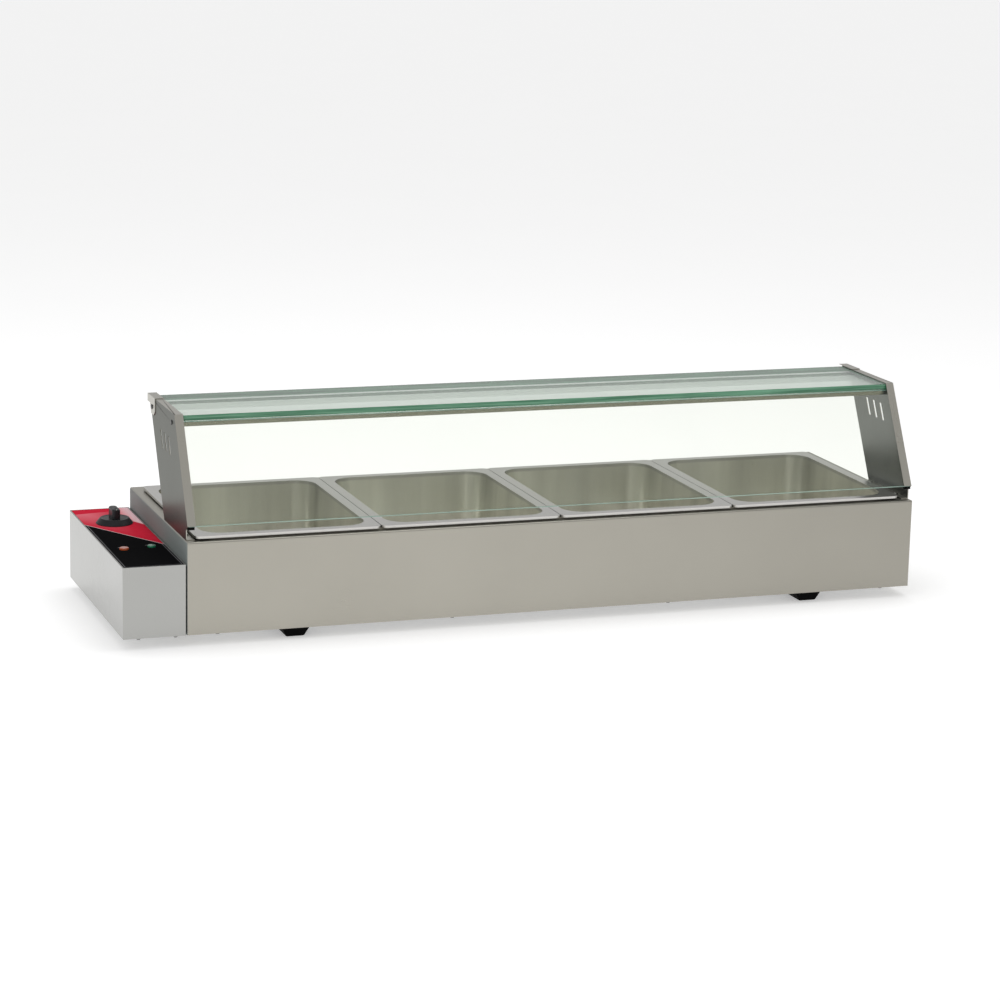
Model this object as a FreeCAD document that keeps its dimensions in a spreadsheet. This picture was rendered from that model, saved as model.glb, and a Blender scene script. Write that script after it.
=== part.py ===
import FreeCAD, Part
import math
import os
import re
import Sketcher

# A countertop food warmer: a low stainless casing with a heated well, four half-size pans hung in
# it, a control box on its left end and a glass guard with a shelf standing along its front.
# +X runs along the casing, +Y from its front face to its back, +Z up. The origin is the middle of
# the whole footprint, on the surface that the feet stand on. Pieces are drawn from the casing's own
# corner: x from its left end, y from its front face, z from its underside.

SIZES = {
    # casing: one folded sheet shell with a flanged underside
    "casing_length": 1095,
    "casing_depth": 357,
    "casing_height": 130,
    "casing_sheet": 1,
    "casing_corner": 2.5,
    "return_flange": 12,
    "plate_sheet": 1,
    "vent_width": 5,
    "vent_pitch": 12,
    "vent_length": 60,
    "entry_play": 1,
    "thread_reach": 5,
    "sheet_clearance": 0.3,
    # pans: half-size containers, hung by their rims
    "pan_length": 325,
    "pan_width": 265,
    "pan_pitch": 266,
    "pan_start": 14,
    "pan_front": 9.4,
    "pan_floor_gap": 9.5,
    "pan_sheet": 0.8,
    "pan_rim": 13.5,
    "pan_rim_corner": 8,
    "pan_rim_drop": 3.4,
    "pan_rim_height": 5.5,
    "pan_wall_corner": 32,
    "pan_floor_round": 22,
    "pan_draft": 2,
    # well: the opening in the casing's top and the tank below it
    "rest_front": 7.6,
    "rest_side": 8,
    "rest_rear": 6.4,
    "lip_gap": 0.3,
    "well_corner": 26,
    "tank_sheet": 0.8,
    "tank_margin": 0.5,
    "tank_floor": 26,
    "pan_depth": "=casing_height + pan_rim_height - tank_floor - pan_floor_gap",
    "tank_flange": 7,
    "tank_round": 8,
    # heaters and what holds them under the tank
    "heater_tube": 8,
    "heater_front": 60,
    "heater_pitch": 70,
    "heater_rear": 225,
    "heater_reach": 1040,
    "terminal_length": 12,
    "terminal_tube": 4,
    "heater_nut": 14,
    "heater_nut_length": 6,
    "clamp_sheet": 1.5,
    "clamp_width": 18,
    "clamp_overhang": 8,
    "clamp_start": 220,
    "clamp_pitch": 340,
    "stud_tube": 5,
    "stud_length": 15,
    "nut_across": 8,
    "nut_height": 4,
    "board_height": 7,
    "board_margin": 20,
    "board_bolt_room": 20,
    # feet
    "foot_height": 16,
    "foot_width": 26,
    "foot_length": 60,
    "foot_top_width": 43,
    "foot_top_length": 68,
    "foot_from_end": 157,
    "foot_from_front": 45,
    "foot_recess": 14,
    "foot_recess_depth": 9,
    "foot_bolt_reach": 10,
    "bolt_tube": 5,
    "bolt_head": 9,
    "foot_bolt_head": 11,
    # control box
    "box_length": 87.6,
    "box_height": 100,
    "box_gap": 1.5,
    "box_sheet": 1,
    "box_corner": 1.5,
    "box_ledge": 6,
    "panel_drop": 0.4,
    "decal_sheet": 0.3,
    "decal_margin": 1.2,
    "gasket_margin": 4,
    "bolt_from_end": 30,
    "bolt_low": 45,
    "bolt_high": 82,
    "bolt_reach": 7,
    "cover_screw_left": 22,
    "cover_screw_right": 14,
    "small_screw_tube": 3.5,
    "small_screw_head": 7,
    # control knob and thermostat
    "knob_side": 43,
    "knob_back": 263,
    "knob_skirt": 54,
    "knob_skirt_top": 41,
    "knob_skirt_height": 8,
    "knob_height": 22,
    "knob_grip_width": 12,
    "knob_grip_length": 31,
    "knob_wall": 2.5,
    "knob_gap": 0.5,
    "pointer_width": 1.6,
    "pointer_length": 10,
    "pointer_sheet": 0.6,
    "pointer_margin": 1,
    "shaft_tube": 6,
    "shaft_clearance": 0.05,
    "shaft_reach": 13,
    "bush_tube": 10,
    "thermostat_width": 36,
    "thermostat_length": 46,
    "thermostat_height": 28,
    "thermostat_screws": 28,
    "capillary_tube": 2,
    "probe_tube": 6,
    "probe_start": 40,
    "probe_length": 80,
    "probe_bend": 12,
    "grommet_neck": 9,
    "grommet_flange": 13,
    "grommet_lip": 1.5,
    "limiter_tube": 16,
    "limiter_height": 8,
    "limiter_level": 70,
    "ear_sheet": 1,
    "ear_width": 24,
    "ear_height": 8,
    "tab_length": 6,
    "tab_width": 6,
    "tab_sheet": 0.8,
    "tab_pitch": 8,
    # lamps
    "green_side": 24,
    "green_front": 109.5,
    "green_lens": 12,
    "orange_side": 64,
    "orange_front": 104.5,
    "orange_lens": 13.5,
    "lens_height": 3,
    "lens_round": 1.8,
    "lamp_tube": 9,
    "lamp_length": 24,
    # power inlet and wiring points
    "inlet_width": 50,
    "inlet_height": 24,
    "inlet_flange": 2.5,
    "inlet_level": 50,
    "inlet_body_width": 28,
    "inlet_body_height": 20,
    "inlet_depth": 22,
    "inlet_wall": 2,
    "inlet_screws": 40,
    "inlet_screw_tube": 3,
    "inlet_screw_head": 5,
    "pin_width": 2,
    "pin_height": 4,
    "pin_pitch": 7,
    "block_width": 26,
    "block_length": 42,
    "block_height": 16,
    "block_side": 8,
    "block_front": 60,
    "terminal_screw_tube": 3,
    "terminal_screw_head": 5,
    "earth_side": 20,
    "earth_front": 150,
    "earth_length": 14,
    # guard: two side brackets, two rails and two panes
    "guard_height": 161.5,
    "guard_inset": 1.3,
    "guard_sheet": 1.2,
    "guard_flange": 12,
    "guard_slope": 0.544,
    "guard_step": 15,
    "guard_step_rise": 6,
    "guard_riser": 12.5,
    "guard_nose": 4,
    "guard_foot_back": 141.5,
    "slot_width": 6.5,
    "slot_bottom": 100,
    "slot_top": 124.5,
    "slot_front": 104,
    "slot_pitch": 22.5,
    "rail_height": 8,
    "rail_width": 26,
    "rail_sheet": 1.2,
    "rail_front": 95.5,
    "rail_rear": 210.6,
    "top_glass": 8,
    "top_glass_front": 81,
    "top_glass_back": 232,
    "front_glass": 5,
    "front_glass_bottom": 20,
    "glass_gap": 0.5,
    "seat_length": 9,
    "seat_height": 4,
    "clip_sheet": 1,
    "clip_front": 194,
    "clip_back": 239,
    "clip_drop": 10,
    "clip_ear": 24,
    "clip_corner": 6,
    "screw_tube": 4,
    "screw_head": 8,
    "screw_head_height": 2.2,
    "side_head_height": 1.4,
    "bracket_screw_front": 40,
    "bracket_screw_back": 125,
    "bracket_screw_side": 8,
}

# The heads of the rear rail screws stand furthest out at the right-hand end.
END_REACH = "(clip_sheet + side_head_height - guard_inset)"
FRAME = (f"(box_gap + box_length - casing_length - {END_REACH}) / 2",
         "-(casing_depth + inlet_flange) / 2", "foot_height")

TURNS = {
    "up": FreeCAD.Rotation(),
    "down": FreeCAD.Rotation(FreeCAD.Vector(1, 0, 0), 180),
    "right": FreeCAD.Rotation(FreeCAD.Vector(0, 1, 0), 90),
    "left": FreeCAD.Rotation(FreeCAD.Vector(0, 1, 0), -90),
    "back": FreeCAD.Rotation(FreeCAD.Vector(1, 0, 0), -90),
}

doc = FreeCAD.newDocument("food_warmer")
sizes = doc.addObject("Spreadsheet::Sheet", "Sizes")
for row, (alias, size) in enumerate(SIZES.items(), start=1):
    sizes.set(f"A{row}", alias)
    sizes.set(f"B{row}", str(size))
    sizes.setAlias(f"B{row}", alias)
doc.recompute()

pieces = []


# ---- ways of drawing ------------------------------------------------------------------------

def formula(text):
    """A formula in the sheet's plain names, as the expression that FreeCAD reads."""
    return re.sub(r"[a-z][a-z_]*", lambda word: f"Sizes.{word[0]}" if word[0] in SIZES else word[0],
                  str(text))


def value(text):
    """What a formula comes to now, for a sketch's first guess and for choosing edges."""
    number = sizes.evalExpression(formula(text))
    return float(getattr(number, "Value", number))


def bind(thing, **formulas):
    """Bind an object's sizes to formulas."""
    for name, text in formulas.items():
        thing.setExpression(name, formula(text))


def place(thing, spot, turn="up"):
    """Put an object at a spot given as three formulas, turned to face one way."""
    thing.Placement = FreeCAD.Placement(FreeCAD.Vector(), TURNS[turn])
    for axis, text in zip("xyz", spot):
        thing.setExpression(f"Placement.Base.{axis}", formula(text))


def settle(piece, label, spot=("0", "0", "0"), turn="up"):
    """Name a finished piece, and put it in the part's frame at a spot measured from the casing."""
    piece.Label = label
    place(piece, [f"{shift} + {text}" for shift, text in zip(FRAME, spot)], turn)
    pieces.append(piece)


def new_body(name):
    return doc.addObject("PartDesign::Body", name)


def new_sketch(body, name, plane, level="0"):
    """A sketch on one of the body's own origin planes, lifted along that plane's normal."""
    sketch = body.newObject("Sketcher::SketchObject", name)
    support = next(item for item in body.Origin.OriginFeatures if item.Role == f"{plane}_Plane")
    sketch.AttachmentSupport = [(support, "")]
    sketch.MapMode = "FlatFace"
    sketch.setExpression("AttachmentOffset.Base.z", formula(level))
    return sketch


def fix_point(sketch, line, end, spot):
    """Tie one point of a sketch to two formulas."""
    for kind, text in zip(("DistanceX", "DistanceY"), spot):
        number = sketch.addConstraint(Sketcher.Constraint(kind, line, end, value(text)))
        sketch.setExpression(f"Constraints[{number}]", formula(text))


def draw_outline(sketch, corners):
    """A closed outline of straight lines through corners, each corner given as two formulas."""
    first = sketch.GeometryCount
    points = [FreeCAD.Vector(value(x), value(y), 0) for x, y in corners]
    for start, end in zip(points, points[1:] + points[:1]):
        sketch.addGeometry(Part.LineSegment(start, end))
    for step in range(len(corners)):
        following = first + (step + 1) % len(corners)
        sketch.addConstraint(Sketcher.Constraint("Coincident", first + step, 2, following, 1))
        fix_point(sketch, first + step, 1, corners[step])


def draw_rectangle(sketch, x_low, x_high, y_low, y_high):
    draw_outline(sketch, [(x_low, y_low), (x_high, y_low), (x_high, y_high), (x_low, y_high)])


def draw_rounded(sketch, x_low, x_high, y_low, y_high, radius):
    """A closed rectangle with round corners, its sides and radius given as formulas."""
    first = sketch.GeometryCount
    left, right, front, rear, bend = (value(text) for text in (x_low, x_high, y_low, y_high, radius))
    sides = [((left + bend, front), (right - bend, front)), ((right, front + bend), (right, rear - bend)),
             ((right - bend, rear), (left + bend, rear)), ((left, rear - bend), (left, front + bend))]
    for (x_from, y_from), (x_to, y_to) in sides:
        sketch.addGeometry(Part.LineSegment(FreeCAD.Vector(x_from, y_from, 0),
                                            FreeCAD.Vector(x_to, y_to, 0)))
    centres = [(right - bend, front + bend), (right - bend, rear - bend),
               (left + bend, rear - bend), (left + bend, front + bend)]
    quarter = math.pi / 2
    for turn, (x, y) in enumerate(centres):
        circle = Part.Circle(FreeCAD.Vector(x, y, 0), FreeCAD.Vector(0, 0, 1), bend)
        sketch.addGeometry(Part.ArcOfCircle(circle, (turn - 1) * quarter, turn * quarter))
    for side in range(4):
        line, arc, following = first + side, first + 4 + side, first + (side + 1) % 4
        sketch.addConstraint(Sketcher.Constraint("Tangent", line, 2, arc, 1))
        sketch.addConstraint(Sketcher.Constraint("Tangent", arc, 2, following, 1))
        sketch.addConstraint(Sketcher.Constraint("Horizontal" if side % 2 == 0 else "Vertical", line))
    for arc in range(5, 8):
        sketch.addConstraint(Sketcher.Constraint("Equal", first + 4, first + arc))
    bounds = [("Radius", (first + 4, bend), radius), ("DistanceY", (first, 1, front), y_low),
              ("DistanceX", (first + 1, 1, right), x_high), ("DistanceY", (first + 2, 1, rear), y_high),
              ("DistanceX", (first + 3, 1, left), x_low)]
    for kind, details, text in bounds:
        number = sketch.addConstraint(Sketcher.Constraint(kind, *details))
        sketch.setExpression(f"Constraints[{number}]", formula(text))


def draw_circle(sketch, x, y, diameter):
    centre = FreeCAD.Vector(value(x), value(y), 0)
    circle = Part.Circle(centre, FreeCAD.Vector(0, 0, 1), value(diameter) / 2)
    number = sketch.addGeometry(circle)
    fix_point(sketch, number, 3, (x, y))
    size = sketch.addConstraint(Sketcher.Constraint("Diameter", number, value(diameter)))
    sketch.setExpression(f"Constraints[{size}]", formula(diameter))


def pad(body, name, sketch, length, backwards=False, taper="0"):
    feature = body.newObject("PartDesign::Pad", name)
    feature.Profile = sketch
    feature.Reversed = backwards
    bind(feature, Length=length, TaperAngle=taper)
    doc.recompute()
    return feature


def pocket(body, name, sketch, depth, backwards=False, taper="0"):
    """Cut a sketch's outline out of the body, and make sure that it took something away."""
    before = body.Shape.Volume
    feature = body.newObject("PartDesign::Pocket", name)
    feature.Profile = sketch
    feature.Reversed = backwards
    bind(feature, Length=depth, TaperAngle=taper)
    doc.recompute()
    if body.Shape.Volume > before - 1e-6:
        raise RuntimeError(f"{name} cuts nothing")
    return feature


def round_edges(body, name, radius, wanted):
    """Fillet the edges of the body's last feature that a test picks."""
    base = body.Tip
    chosen = [f"Edge{number}" for number, edge in enumerate(base.Shape.Edges, start=1) if wanted(edge)]
    feature = body.newObject("PartDesign::Fillet", name)
    feature.Base = (base, chosen)
    bind(feature, Radius=radius)
    doc.recompute()
    return feature


def hollow(body, name, wall, open_faces):
    """Leave a wall inside the body's last feature, open at the faces that a test picks."""
    base = body.Tip
    chosen = [f"Face{number}" for number, face in enumerate(base.Shape.Faces, start=1) if open_faces(face)]
    feature = body.newObject("PartDesign::Thickness", name)
    feature.Base = (base, chosen)
    feature.Reversed = True
    feature.Mode = 0
    feature.Join = 0
    bind(feature, Value=wall)
    doc.recompute()
    return feature


def upright(edge):
    """Whether an edge runs straight up."""
    ends = [vertex.Point for vertex in edge.Vertexes]
    return len(ends) == 2 and abs(ends[0].x - ends[1].x) < 1e-6 and abs(ends[0].y - ends[1].y) < 1e-6


def at_level(level):
    """A test for edges or faces that lie flat at one height."""
    height = value(level)
    return lambda item: abs(item.BoundBox.ZMin - height) < 1e-6 and abs(item.BoundBox.ZMax - height) < 1e-6


def solid(kind, name, spot=("0", "0", "0"), turn="up", **formulas):
    """A Part primitive with its sizes and place bound to formulas."""
    item = doc.addObject(kind, name)
    bind(item, **formulas)
    place(item, spot, turn)
    return item


def boolean(kind, name, base, tool):
    item = doc.addObject(kind, name)
    item.Base = base
    item.Tool = tool
    return item


def group(name, members):
    item = doc.addObject("Part::Compound", name)
    item.Links = members
    return item


def screw(name, spot, facing, length, tube="screw_tube", head="screw_head",
          head_height="screw_head_height"):
    """A screw whose domed head starts at a spot and faces one way, with its shank behind it."""
    top = solid("Part::Cone", f"{name}_head",
                Radius1=f"({head}) / 2", Radius2=f"({head}) / 3", Height=head_height)
    shank = solid("Part::Cylinder", f"{name}_shank", ("0", "0", f"-({length})"),
                  Radius=f"({tube}) / 2", Height=length)
    item = boolean("Part::Fuse", name, top, shank)
    place(item, spot, facing)
    return item


def nut(name, spot, facing="up", across="nut_across", height="nut_height", bore="bolt_tube"):
    """A hexagon nut with its underside at a spot."""
    blank = solid("Part::Prism", f"{name}_blank", Circumradius=f"{across} / sqrt(3)", Height=height)
    blank.Polygon = 6
    hole = solid("Part::Cylinder", f"{name}_hole", Radius=f"{bore} / 2", Height=height)
    item = boolean("Part::Cut", name, blank, hole)
    place(item, spot, facing)
    return item


# ---- places that several pieces share -----------------------------------------------------------

WELL_LEFT = "(pan_start + rest_side)"
WELL_RIGHT = "(pan_start + 3 * pan_pitch + pan_width - rest_side)"
WELL_FRONT = "(pan_front + rest_front)"
WELL_REAR = "(pan_front + pan_length - rest_rear)"
BOX_LEFT = "(-box_gap - box_length)"
BOX_RIGHT = "(-box_gap)"
PANEL_TOP = "(box_height - panel_drop)"
HEATER_LEVEL = "(tank_floor - heater_tube / 2)"
CLAMP_LEVEL = "(tank_floor - heater_tube - clamp_sheet)"
HEATER_LEGS = ["heater_front", "(heater_front + heater_pitch)",
               "heater_rear", "(heater_rear + heater_pitch)"]
CLAMP_SPOTS = [(f"(clamp_start + {turn} * clamp_pitch)", f"({row} + heater_pitch / 2)")
               for row in ("heater_front", "heater_rear") for turn in range(3)]
FOOT_SPOTS = {
    "front_left": ("foot_from_end", "foot_from_front"),
    "front_right": ("(casing_length - foot_from_end)", "foot_from_front"),
    "rear_left": ("foot_from_end", "(casing_depth - foot_from_front)"),
    "rear_right": ("(casing_length - foot_from_end)", "(casing_depth - foot_from_front)"),
}
FLANGE_LINE = "(return_flange / 2 + casing_sheet / 2)"
BASE_SHARES = (0.04, 0.35, 0.65, 0.96)
BASE_SCREWS = [(f"({share} * casing_length)", side) for share in BASE_SHARES
               for side in (FLANGE_LINE, f"(casing_depth - {FLANGE_LINE})")]
COVER_LINE = "(box_sheet + box_ledge / 2)"
COVER_SCREWS = [(x, y) for y in (COVER_LINE, f"(casing_depth - {COVER_LINE})")
                for x in (f"({BOX_LEFT} + cover_screw_left)", f"({BOX_RIGHT} - cover_screw_right)")]
BOX_BOLTS = [(side, level) for side in ("bolt_from_end", "(casing_depth - bolt_from_end)")
             for level in ("bolt_low", "bolt_high")]
LAMPS = {
    "green_lamp": ("(-green_side)", "green_front", "green_lens"),
    "orange_lamp": ("(-orange_side)", "orange_front", "orange_lens"),
}
KNOB_SPOT = ("(-knob_side)", "knob_back")
INLET_MIDDLE = "(-box_gap - box_length / 2)"
GUARD_TOP = "(casing_height + guard_height)"
RAIL_TOP = f"({GUARD_TOP} - guard_sheet - glass_gap - top_glass)"
RAILS = {"front_rail": "rail_front", "rear_rail": "rail_rear"}
GUARD_LEFT = "(guard_inset + guard_sheet)"
GUARD_RIGHT = "(casing_length - guard_inset - guard_sheet)"


# ---- casing -------------------------------------------------------------------------------------

def make_outer_casing():
    """Folded shell, open below but for a return flange, with an upturned lip round the well."""
    body = new_body("outer_casing")
    block = new_sketch(body, "casing_plan", "XY")
    draw_rectangle(block, "0", "casing_length", "0", "casing_depth")
    pad(body, "casing_block", block, "casing_height")
    round_edges(body, "casing_corners", "casing_corner",
                lambda edge: upright(edge) or at_level("casing_height")(edge))
    hollow(body, "casing_shell", "casing_sheet", at_level("0"))

    flange = new_sketch(body, "flange_plan", "XY")
    draw_rectangle(flange, "casing_sheet / 2", "casing_length - casing_sheet / 2",
                   "casing_sheet / 2", "casing_depth - casing_sheet / 2")
    draw_rectangle(flange, "return_flange", "casing_length - return_flange",
                   "return_flange", "casing_depth - return_flange")
    pad(body, "casing_flange", flange, "casing_sheet")

    lip = new_sketch(body, "lip_plan", "XY", "casing_height - casing_sheet")
    draw_rounded(lip, f"{WELL_LEFT} - casing_sheet", f"{WELL_RIGHT} + casing_sheet",
                 f"{WELL_FRONT} - casing_sheet", f"{WELL_REAR} + casing_sheet",
                 "well_corner + casing_sheet")
    pad(body, "casing_lip", lip, "casing_sheet + pan_rim_height - pan_rim_drop - lip_gap")
    well = new_sketch(body, "well_plan", "XY", "casing_height - 2 * casing_sheet")
    draw_rounded(well, WELL_LEFT, WELL_RIGHT, WELL_FRONT, WELL_REAR, "well_corner")
    pocket(body, "well_opening", well, "3 * casing_sheet + pan_rim_height", backwards=True)

    entries = new_sketch(body, "entry_holes", "YZ", "-casing_sheet")
    for leg in HEATER_LEGS:
        draw_circle(entries, leg, HEATER_LEVEL, "heater_tube + entry_play")
    draw_circle(entries, "knob_back", "tank_floor - probe_tube / 2", "grommet_neck")
    for side, level in BOX_BOLTS:
        draw_circle(entries, side, level, "bolt_tube")
    pocket(body, "entries", entries, "3 * casing_sheet", backwards=True)

    fixings = new_sketch(body, "fixing_holes", "XY", "casing_height - 2 * casing_sheet")
    for side in ("bracket_screw_side", "(casing_length - bracket_screw_side)"):
        for depth in ("bracket_screw_front", "bracket_screw_back"):
            draw_circle(fixings, side, depth, "screw_tube")
    pocket(body, "fixings", fixings, "3 * casing_sheet", backwards=True)

    seams = new_sketch(body, "base_screw_holes", "XY", "-casing_sheet")
    for x, y in BASE_SCREWS:
        draw_circle(seams, x, y, "screw_tube")
    pocket(body, "seams", seams, "3 * casing_sheet", backwards=True)
    settle(body, "outer_casing")


def make_base_plate():
    """Flat plate that closes the casing from below, with vents and the feet's bolt holes."""
    inset = "(casing_sheet + sheet_clearance)"
    body = new_body("base_plate")
    plan = new_sketch(body, "base_plan", "XY", "casing_sheet")
    draw_rounded(plan, inset, f"casing_length - {inset}", inset, f"casing_depth - {inset}", "casing_corner")
    for x, y in FOOT_SPOTS.values():
        draw_circle(plan, x, y, "bolt_tube")
    for x, y in BASE_SCREWS:
        draw_circle(plan, x, y, "screw_tube")
    pad(body, "base_sheet", plan, "plate_sheet")
    for share in BASE_SHARES[1:3]:
        for step in range(-3, 4):
            name = f"vent_{int(100 * share)}_{step + 3}"
            vent = new_sketch(body, f"{name}_plan", "XY")
            start = f"({share} * casing_length + {step} * vent_pitch)"
            draw_rectangle(vent, start, f"{start} + vent_width",
                           "(casing_depth - vent_length) / 2", "(casing_depth + vent_length) / 2")
            pocket(body, name, vent, "casing_sheet + 2 * plate_sheet", backwards=True)
    settle(body, "base_plate")


def make_water_tank():
    """Deep-drawn tank under the well, with a flange spot-welded below the casing's top."""
    wall = "(tank_margin + tank_sheet)"
    body = new_body("water_tank")
    plan = new_sketch(body, "tank_plan", "XY", "tank_floor")
    draw_rectangle(plan, f"{WELL_LEFT} - {wall}", f"{WELL_RIGHT} + {wall}",
                   f"{WELL_FRONT} - {wall}", f"{WELL_REAR} + {wall}")
    pad(body, "tank_block", plan, "casing_height - casing_sheet - tank_floor")
    round_edges(body, "tank_corners", "well_corner", upright)
    round_edges(body, "tank_floor_round", "tank_round", at_level("tank_floor"))
    hollow(body, "tank_shell", "tank_sheet", at_level("casing_height - casing_sheet"))
    flange = new_sketch(body, "tank_flange_plan", "XY", "casing_height - casing_sheet - tank_sheet")
    reach = "(tank_margin + tank_flange)"
    draw_rectangle(flange, f"{WELL_LEFT} - {reach}", f"{WELL_RIGHT} + {reach}",
                   f"{WELL_FRONT} - {reach}", f"{WELL_REAR} + {reach}")
    inner = "(tank_margin + tank_sheet / 2)"
    draw_rounded(flange, f"{WELL_LEFT} - {inner}", f"{WELL_RIGHT} + {inner}",
                 f"{WELL_FRONT} - {inner}", f"{WELL_REAR} + {inner}", "well_corner - tank_sheet / 2")
    pad(body, "tank_flange", flange, "tank_sheet")
    settle(body, "water_tank")


# ---- heaters, insulation and the pieces under the tank --------------------------------------------

def draw_bent_path(sketch, start, bend_centre, bend, end, turn_from, turn_to):
    """A straight run, an arc that it flows into, and a second straight run that leaves the arc."""
    first, centre, last = (FreeCAD.Vector(value(spot[0]), value(spot[1]), 0)
                           for spot in (start, bend_centre, end))
    radius = value(bend)
    arc = Part.ArcOfCircle(Part.Circle(centre, FreeCAD.Vector(0, 0, 1), radius), turn_from, turn_to)
    arc_start, arc_end = arc.value(turn_from), arc.value(turn_to)
    near, far = sorted((arc_start, arc_end), key=lambda spot: spot.distanceToPoint(first))
    sketch.addGeometry(Part.LineSegment(first, near))
    sketch.addGeometry(arc)
    sketch.addGeometry(Part.LineSegment(far, last))
    sketch.addConstraint(Sketcher.Constraint("Tangent", 0, 2, 1, 1))
    sketch.addConstraint(Sketcher.Constraint("Tangent", 1, 2, 2, 1))
    fix_point(sketch, 0, 1, start)
    fix_point(sketch, 1, 3, bend_centre)
    fix_point(sketch, 2, 2, end)


def make_heater(label, leg):
    """Hairpin tube heater pressed to the underside of the tank, with a terminal on each end."""
    body = new_body(label)
    start = "(-casing_sheet - box_gap - heater_nut_length - heater_tube / 2)"
    back = f"({leg} + heater_pitch)"
    bend = "(heater_pitch / 2)"
    path = new_sketch(body, f"{label}_path", "XY", HEATER_LEVEL)
    draw_bent_path(path, (start, leg), (f"heater_reach - {bend}", f"{leg} + {bend}"), bend,
                   (start, back), -math.pi / 2, math.pi / 2)
    section = new_sketch(body, f"{label}_section", "YZ", start)
    draw_circle(section, leg, HEATER_LEVEL, "heater_tube")
    tube = body.newObject("PartDesign::AdditivePipe", f"{label}_tube")
    tube.Profile = section
    tube.Spine = (path, ["Edge1", "Edge2", "Edge3"])
    doc.recompute()
    ends = new_sketch(body, f"{label}_ends", "YZ", f"{start} - terminal_length")
    draw_circle(ends, leg, HEATER_LEVEL, "terminal_tube")
    draw_circle(ends, back, HEATER_LEVEL, "terminal_tube")
    pad(body, f"{label}_terminals", ends, "terminal_length + heater_tube / 4")
    settle(body, label)


def make_heater_nuts():
    """Nuts that clamp the heaters' ends to the wall of the control box."""
    nuts = [nut(f"heater_nut_{number}", (f"{BOX_RIGHT} - box_sheet", leg, HEATER_LEVEL), "left",
                "heater_nut", "heater_nut_length", "heater_tube") for number, leg in enumerate(HEATER_LEGS)]
    settle(group("heater_nuts", nuts), "heater_nuts")


def make_clamps():
    """Bars that press the heaters to the tank, with their welded studs and nuts."""
    span = "(heater_pitch + heater_tube + 2 * clamp_overhang)"
    bars, studs, nuts = [], [], []
    for number, (x, y) in enumerate(CLAMP_SPOTS):
        corner = (f"{x} - clamp_width / 2", f"{y} - {span} / 2", CLAMP_LEVEL)
        bar = solid("Part::Box", f"clamp_blank_{number}", corner,
                    Length="clamp_width", Width=span, Height="clamp_sheet")
        hole = solid("Part::Cylinder", f"clamp_hole_{number}", (x, y, CLAMP_LEVEL),
                     Radius="stud_tube / 2", Height="clamp_sheet")
        bars.append(boolean("Part::Cut", f"clamp_bar_{number}", bar, hole))
        studs.append(solid("Part::Cylinder", f"clamp_stud_{number}", (x, y, "tank_floor - stud_length"),
                           Radius="stud_tube / 2", Height="stud_length"))
        nuts.append(nut(f"clamp_nut_{number}", (x, y, f"{CLAMP_LEVEL} - nut_height"), bore="stud_tube"))
    settle(group("heater_clamps", bars), "heater_clamps")
    settle(group("clamp_studs", studs), "clamp_studs")
    settle(group("clamp_nuts", nuts), "clamp_nuts")


def make_insulation():
    """Mineral board lying on the base plate, cut round the feet's bolts and over the vents."""
    body = new_body("insulation_board")
    plan = new_sketch(body, "board_plan", "XY", "casing_sheet + plate_sheet")
    draw_rectangle(plan, "board_margin", "casing_length - board_margin",
                   "board_margin", "casing_depth - board_margin")
    for x, y in FOOT_SPOTS.values():
        draw_circle(plan, x, y, "board_bolt_room")
    pad(body, "board_sheet", plan, "board_height")
    settle(body, "insulation_board")


def make_limiter():
    """Disc cut-out that stops the heaters if the tank runs dry, held on the tank's left end."""
    face = f"({WELL_LEFT} - tank_margin - tank_sheet)"
    cup = solid("Part::Cylinder", "limiter_cup", (face, "casing_depth / 2", "limiter_level"), "left",
                Radius="limiter_tube / 2", Height="limiter_height")
    ear = solid("Part::Box", "limiter_ear",
                (f"{face} - ear_sheet", "(casing_depth - ear_width) / 2", "limiter_level - ear_height / 2"),
                Length="ear_sheet", Width="ear_width", Height="ear_height")
    tabs = [solid("Part::Box", f"limiter_tab_{number}",
                  (f"{face} - limiter_height - tab_length",
                   f"(casing_depth {way} tab_pitch - tab_sheet) / 2", "limiter_level - tab_width / 2"),
                  Length="tab_length + ear_sheet / 2", Width="tab_sheet", Height="tab_width")
            for number, way in enumerate(("-", "+"))]
    joined = boolean("Part::Fuse", "limiter_body", cup, ear)
    for number, tab in enumerate(tabs):
        joined = boolean("Part::Fuse", f"limiter_joined_{number}", joined, tab)
    settle(joined, "limit_thermostat")


# ---- feet ---------------------------------------------------------------------------------------

def make_feet():
    """Moulded rubber feet that narrow towards the surface, bolted through their middles."""
    for label, (x, y) in FOOT_SPOTS.items():
        body = new_body(f"foot_{label}")
        sole = new_sketch(body, f"{label}_sole", "XY", "-foot_height")
        draw_rectangle(sole, "-foot_width / 2", "foot_width / 2", "-foot_length / 2", "foot_length / 2")
        crown = new_sketch(body, f"{label}_crown", "XY")
        draw_rectangle(crown, "-foot_top_width / 2", "foot_top_width / 2",
                       "-foot_top_length / 2", "foot_top_length / 2")
        block = body.newObject("PartDesign::AdditiveLoft", f"{label}_block")
        block.Profile = sole
        block.Sections = [crown]
        doc.recompute()
        recess = new_sketch(body, f"{label}_recess", "XY", "-foot_height")
        draw_circle(recess, "0", "0", "foot_recess")
        pocket(body, f"{label}_recess_cut", recess, "foot_recess_depth", backwards=True)
        bore = new_sketch(body, f"{label}_bore", "XY", "-foot_height")
        draw_circle(bore, "0", "0", "bolt_tube")
        pocket(body, f"{label}_bore_cut", bore, "foot_height", backwards=True)
        settle(body, f"foot_{label}", (x, y, "0"))


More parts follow.
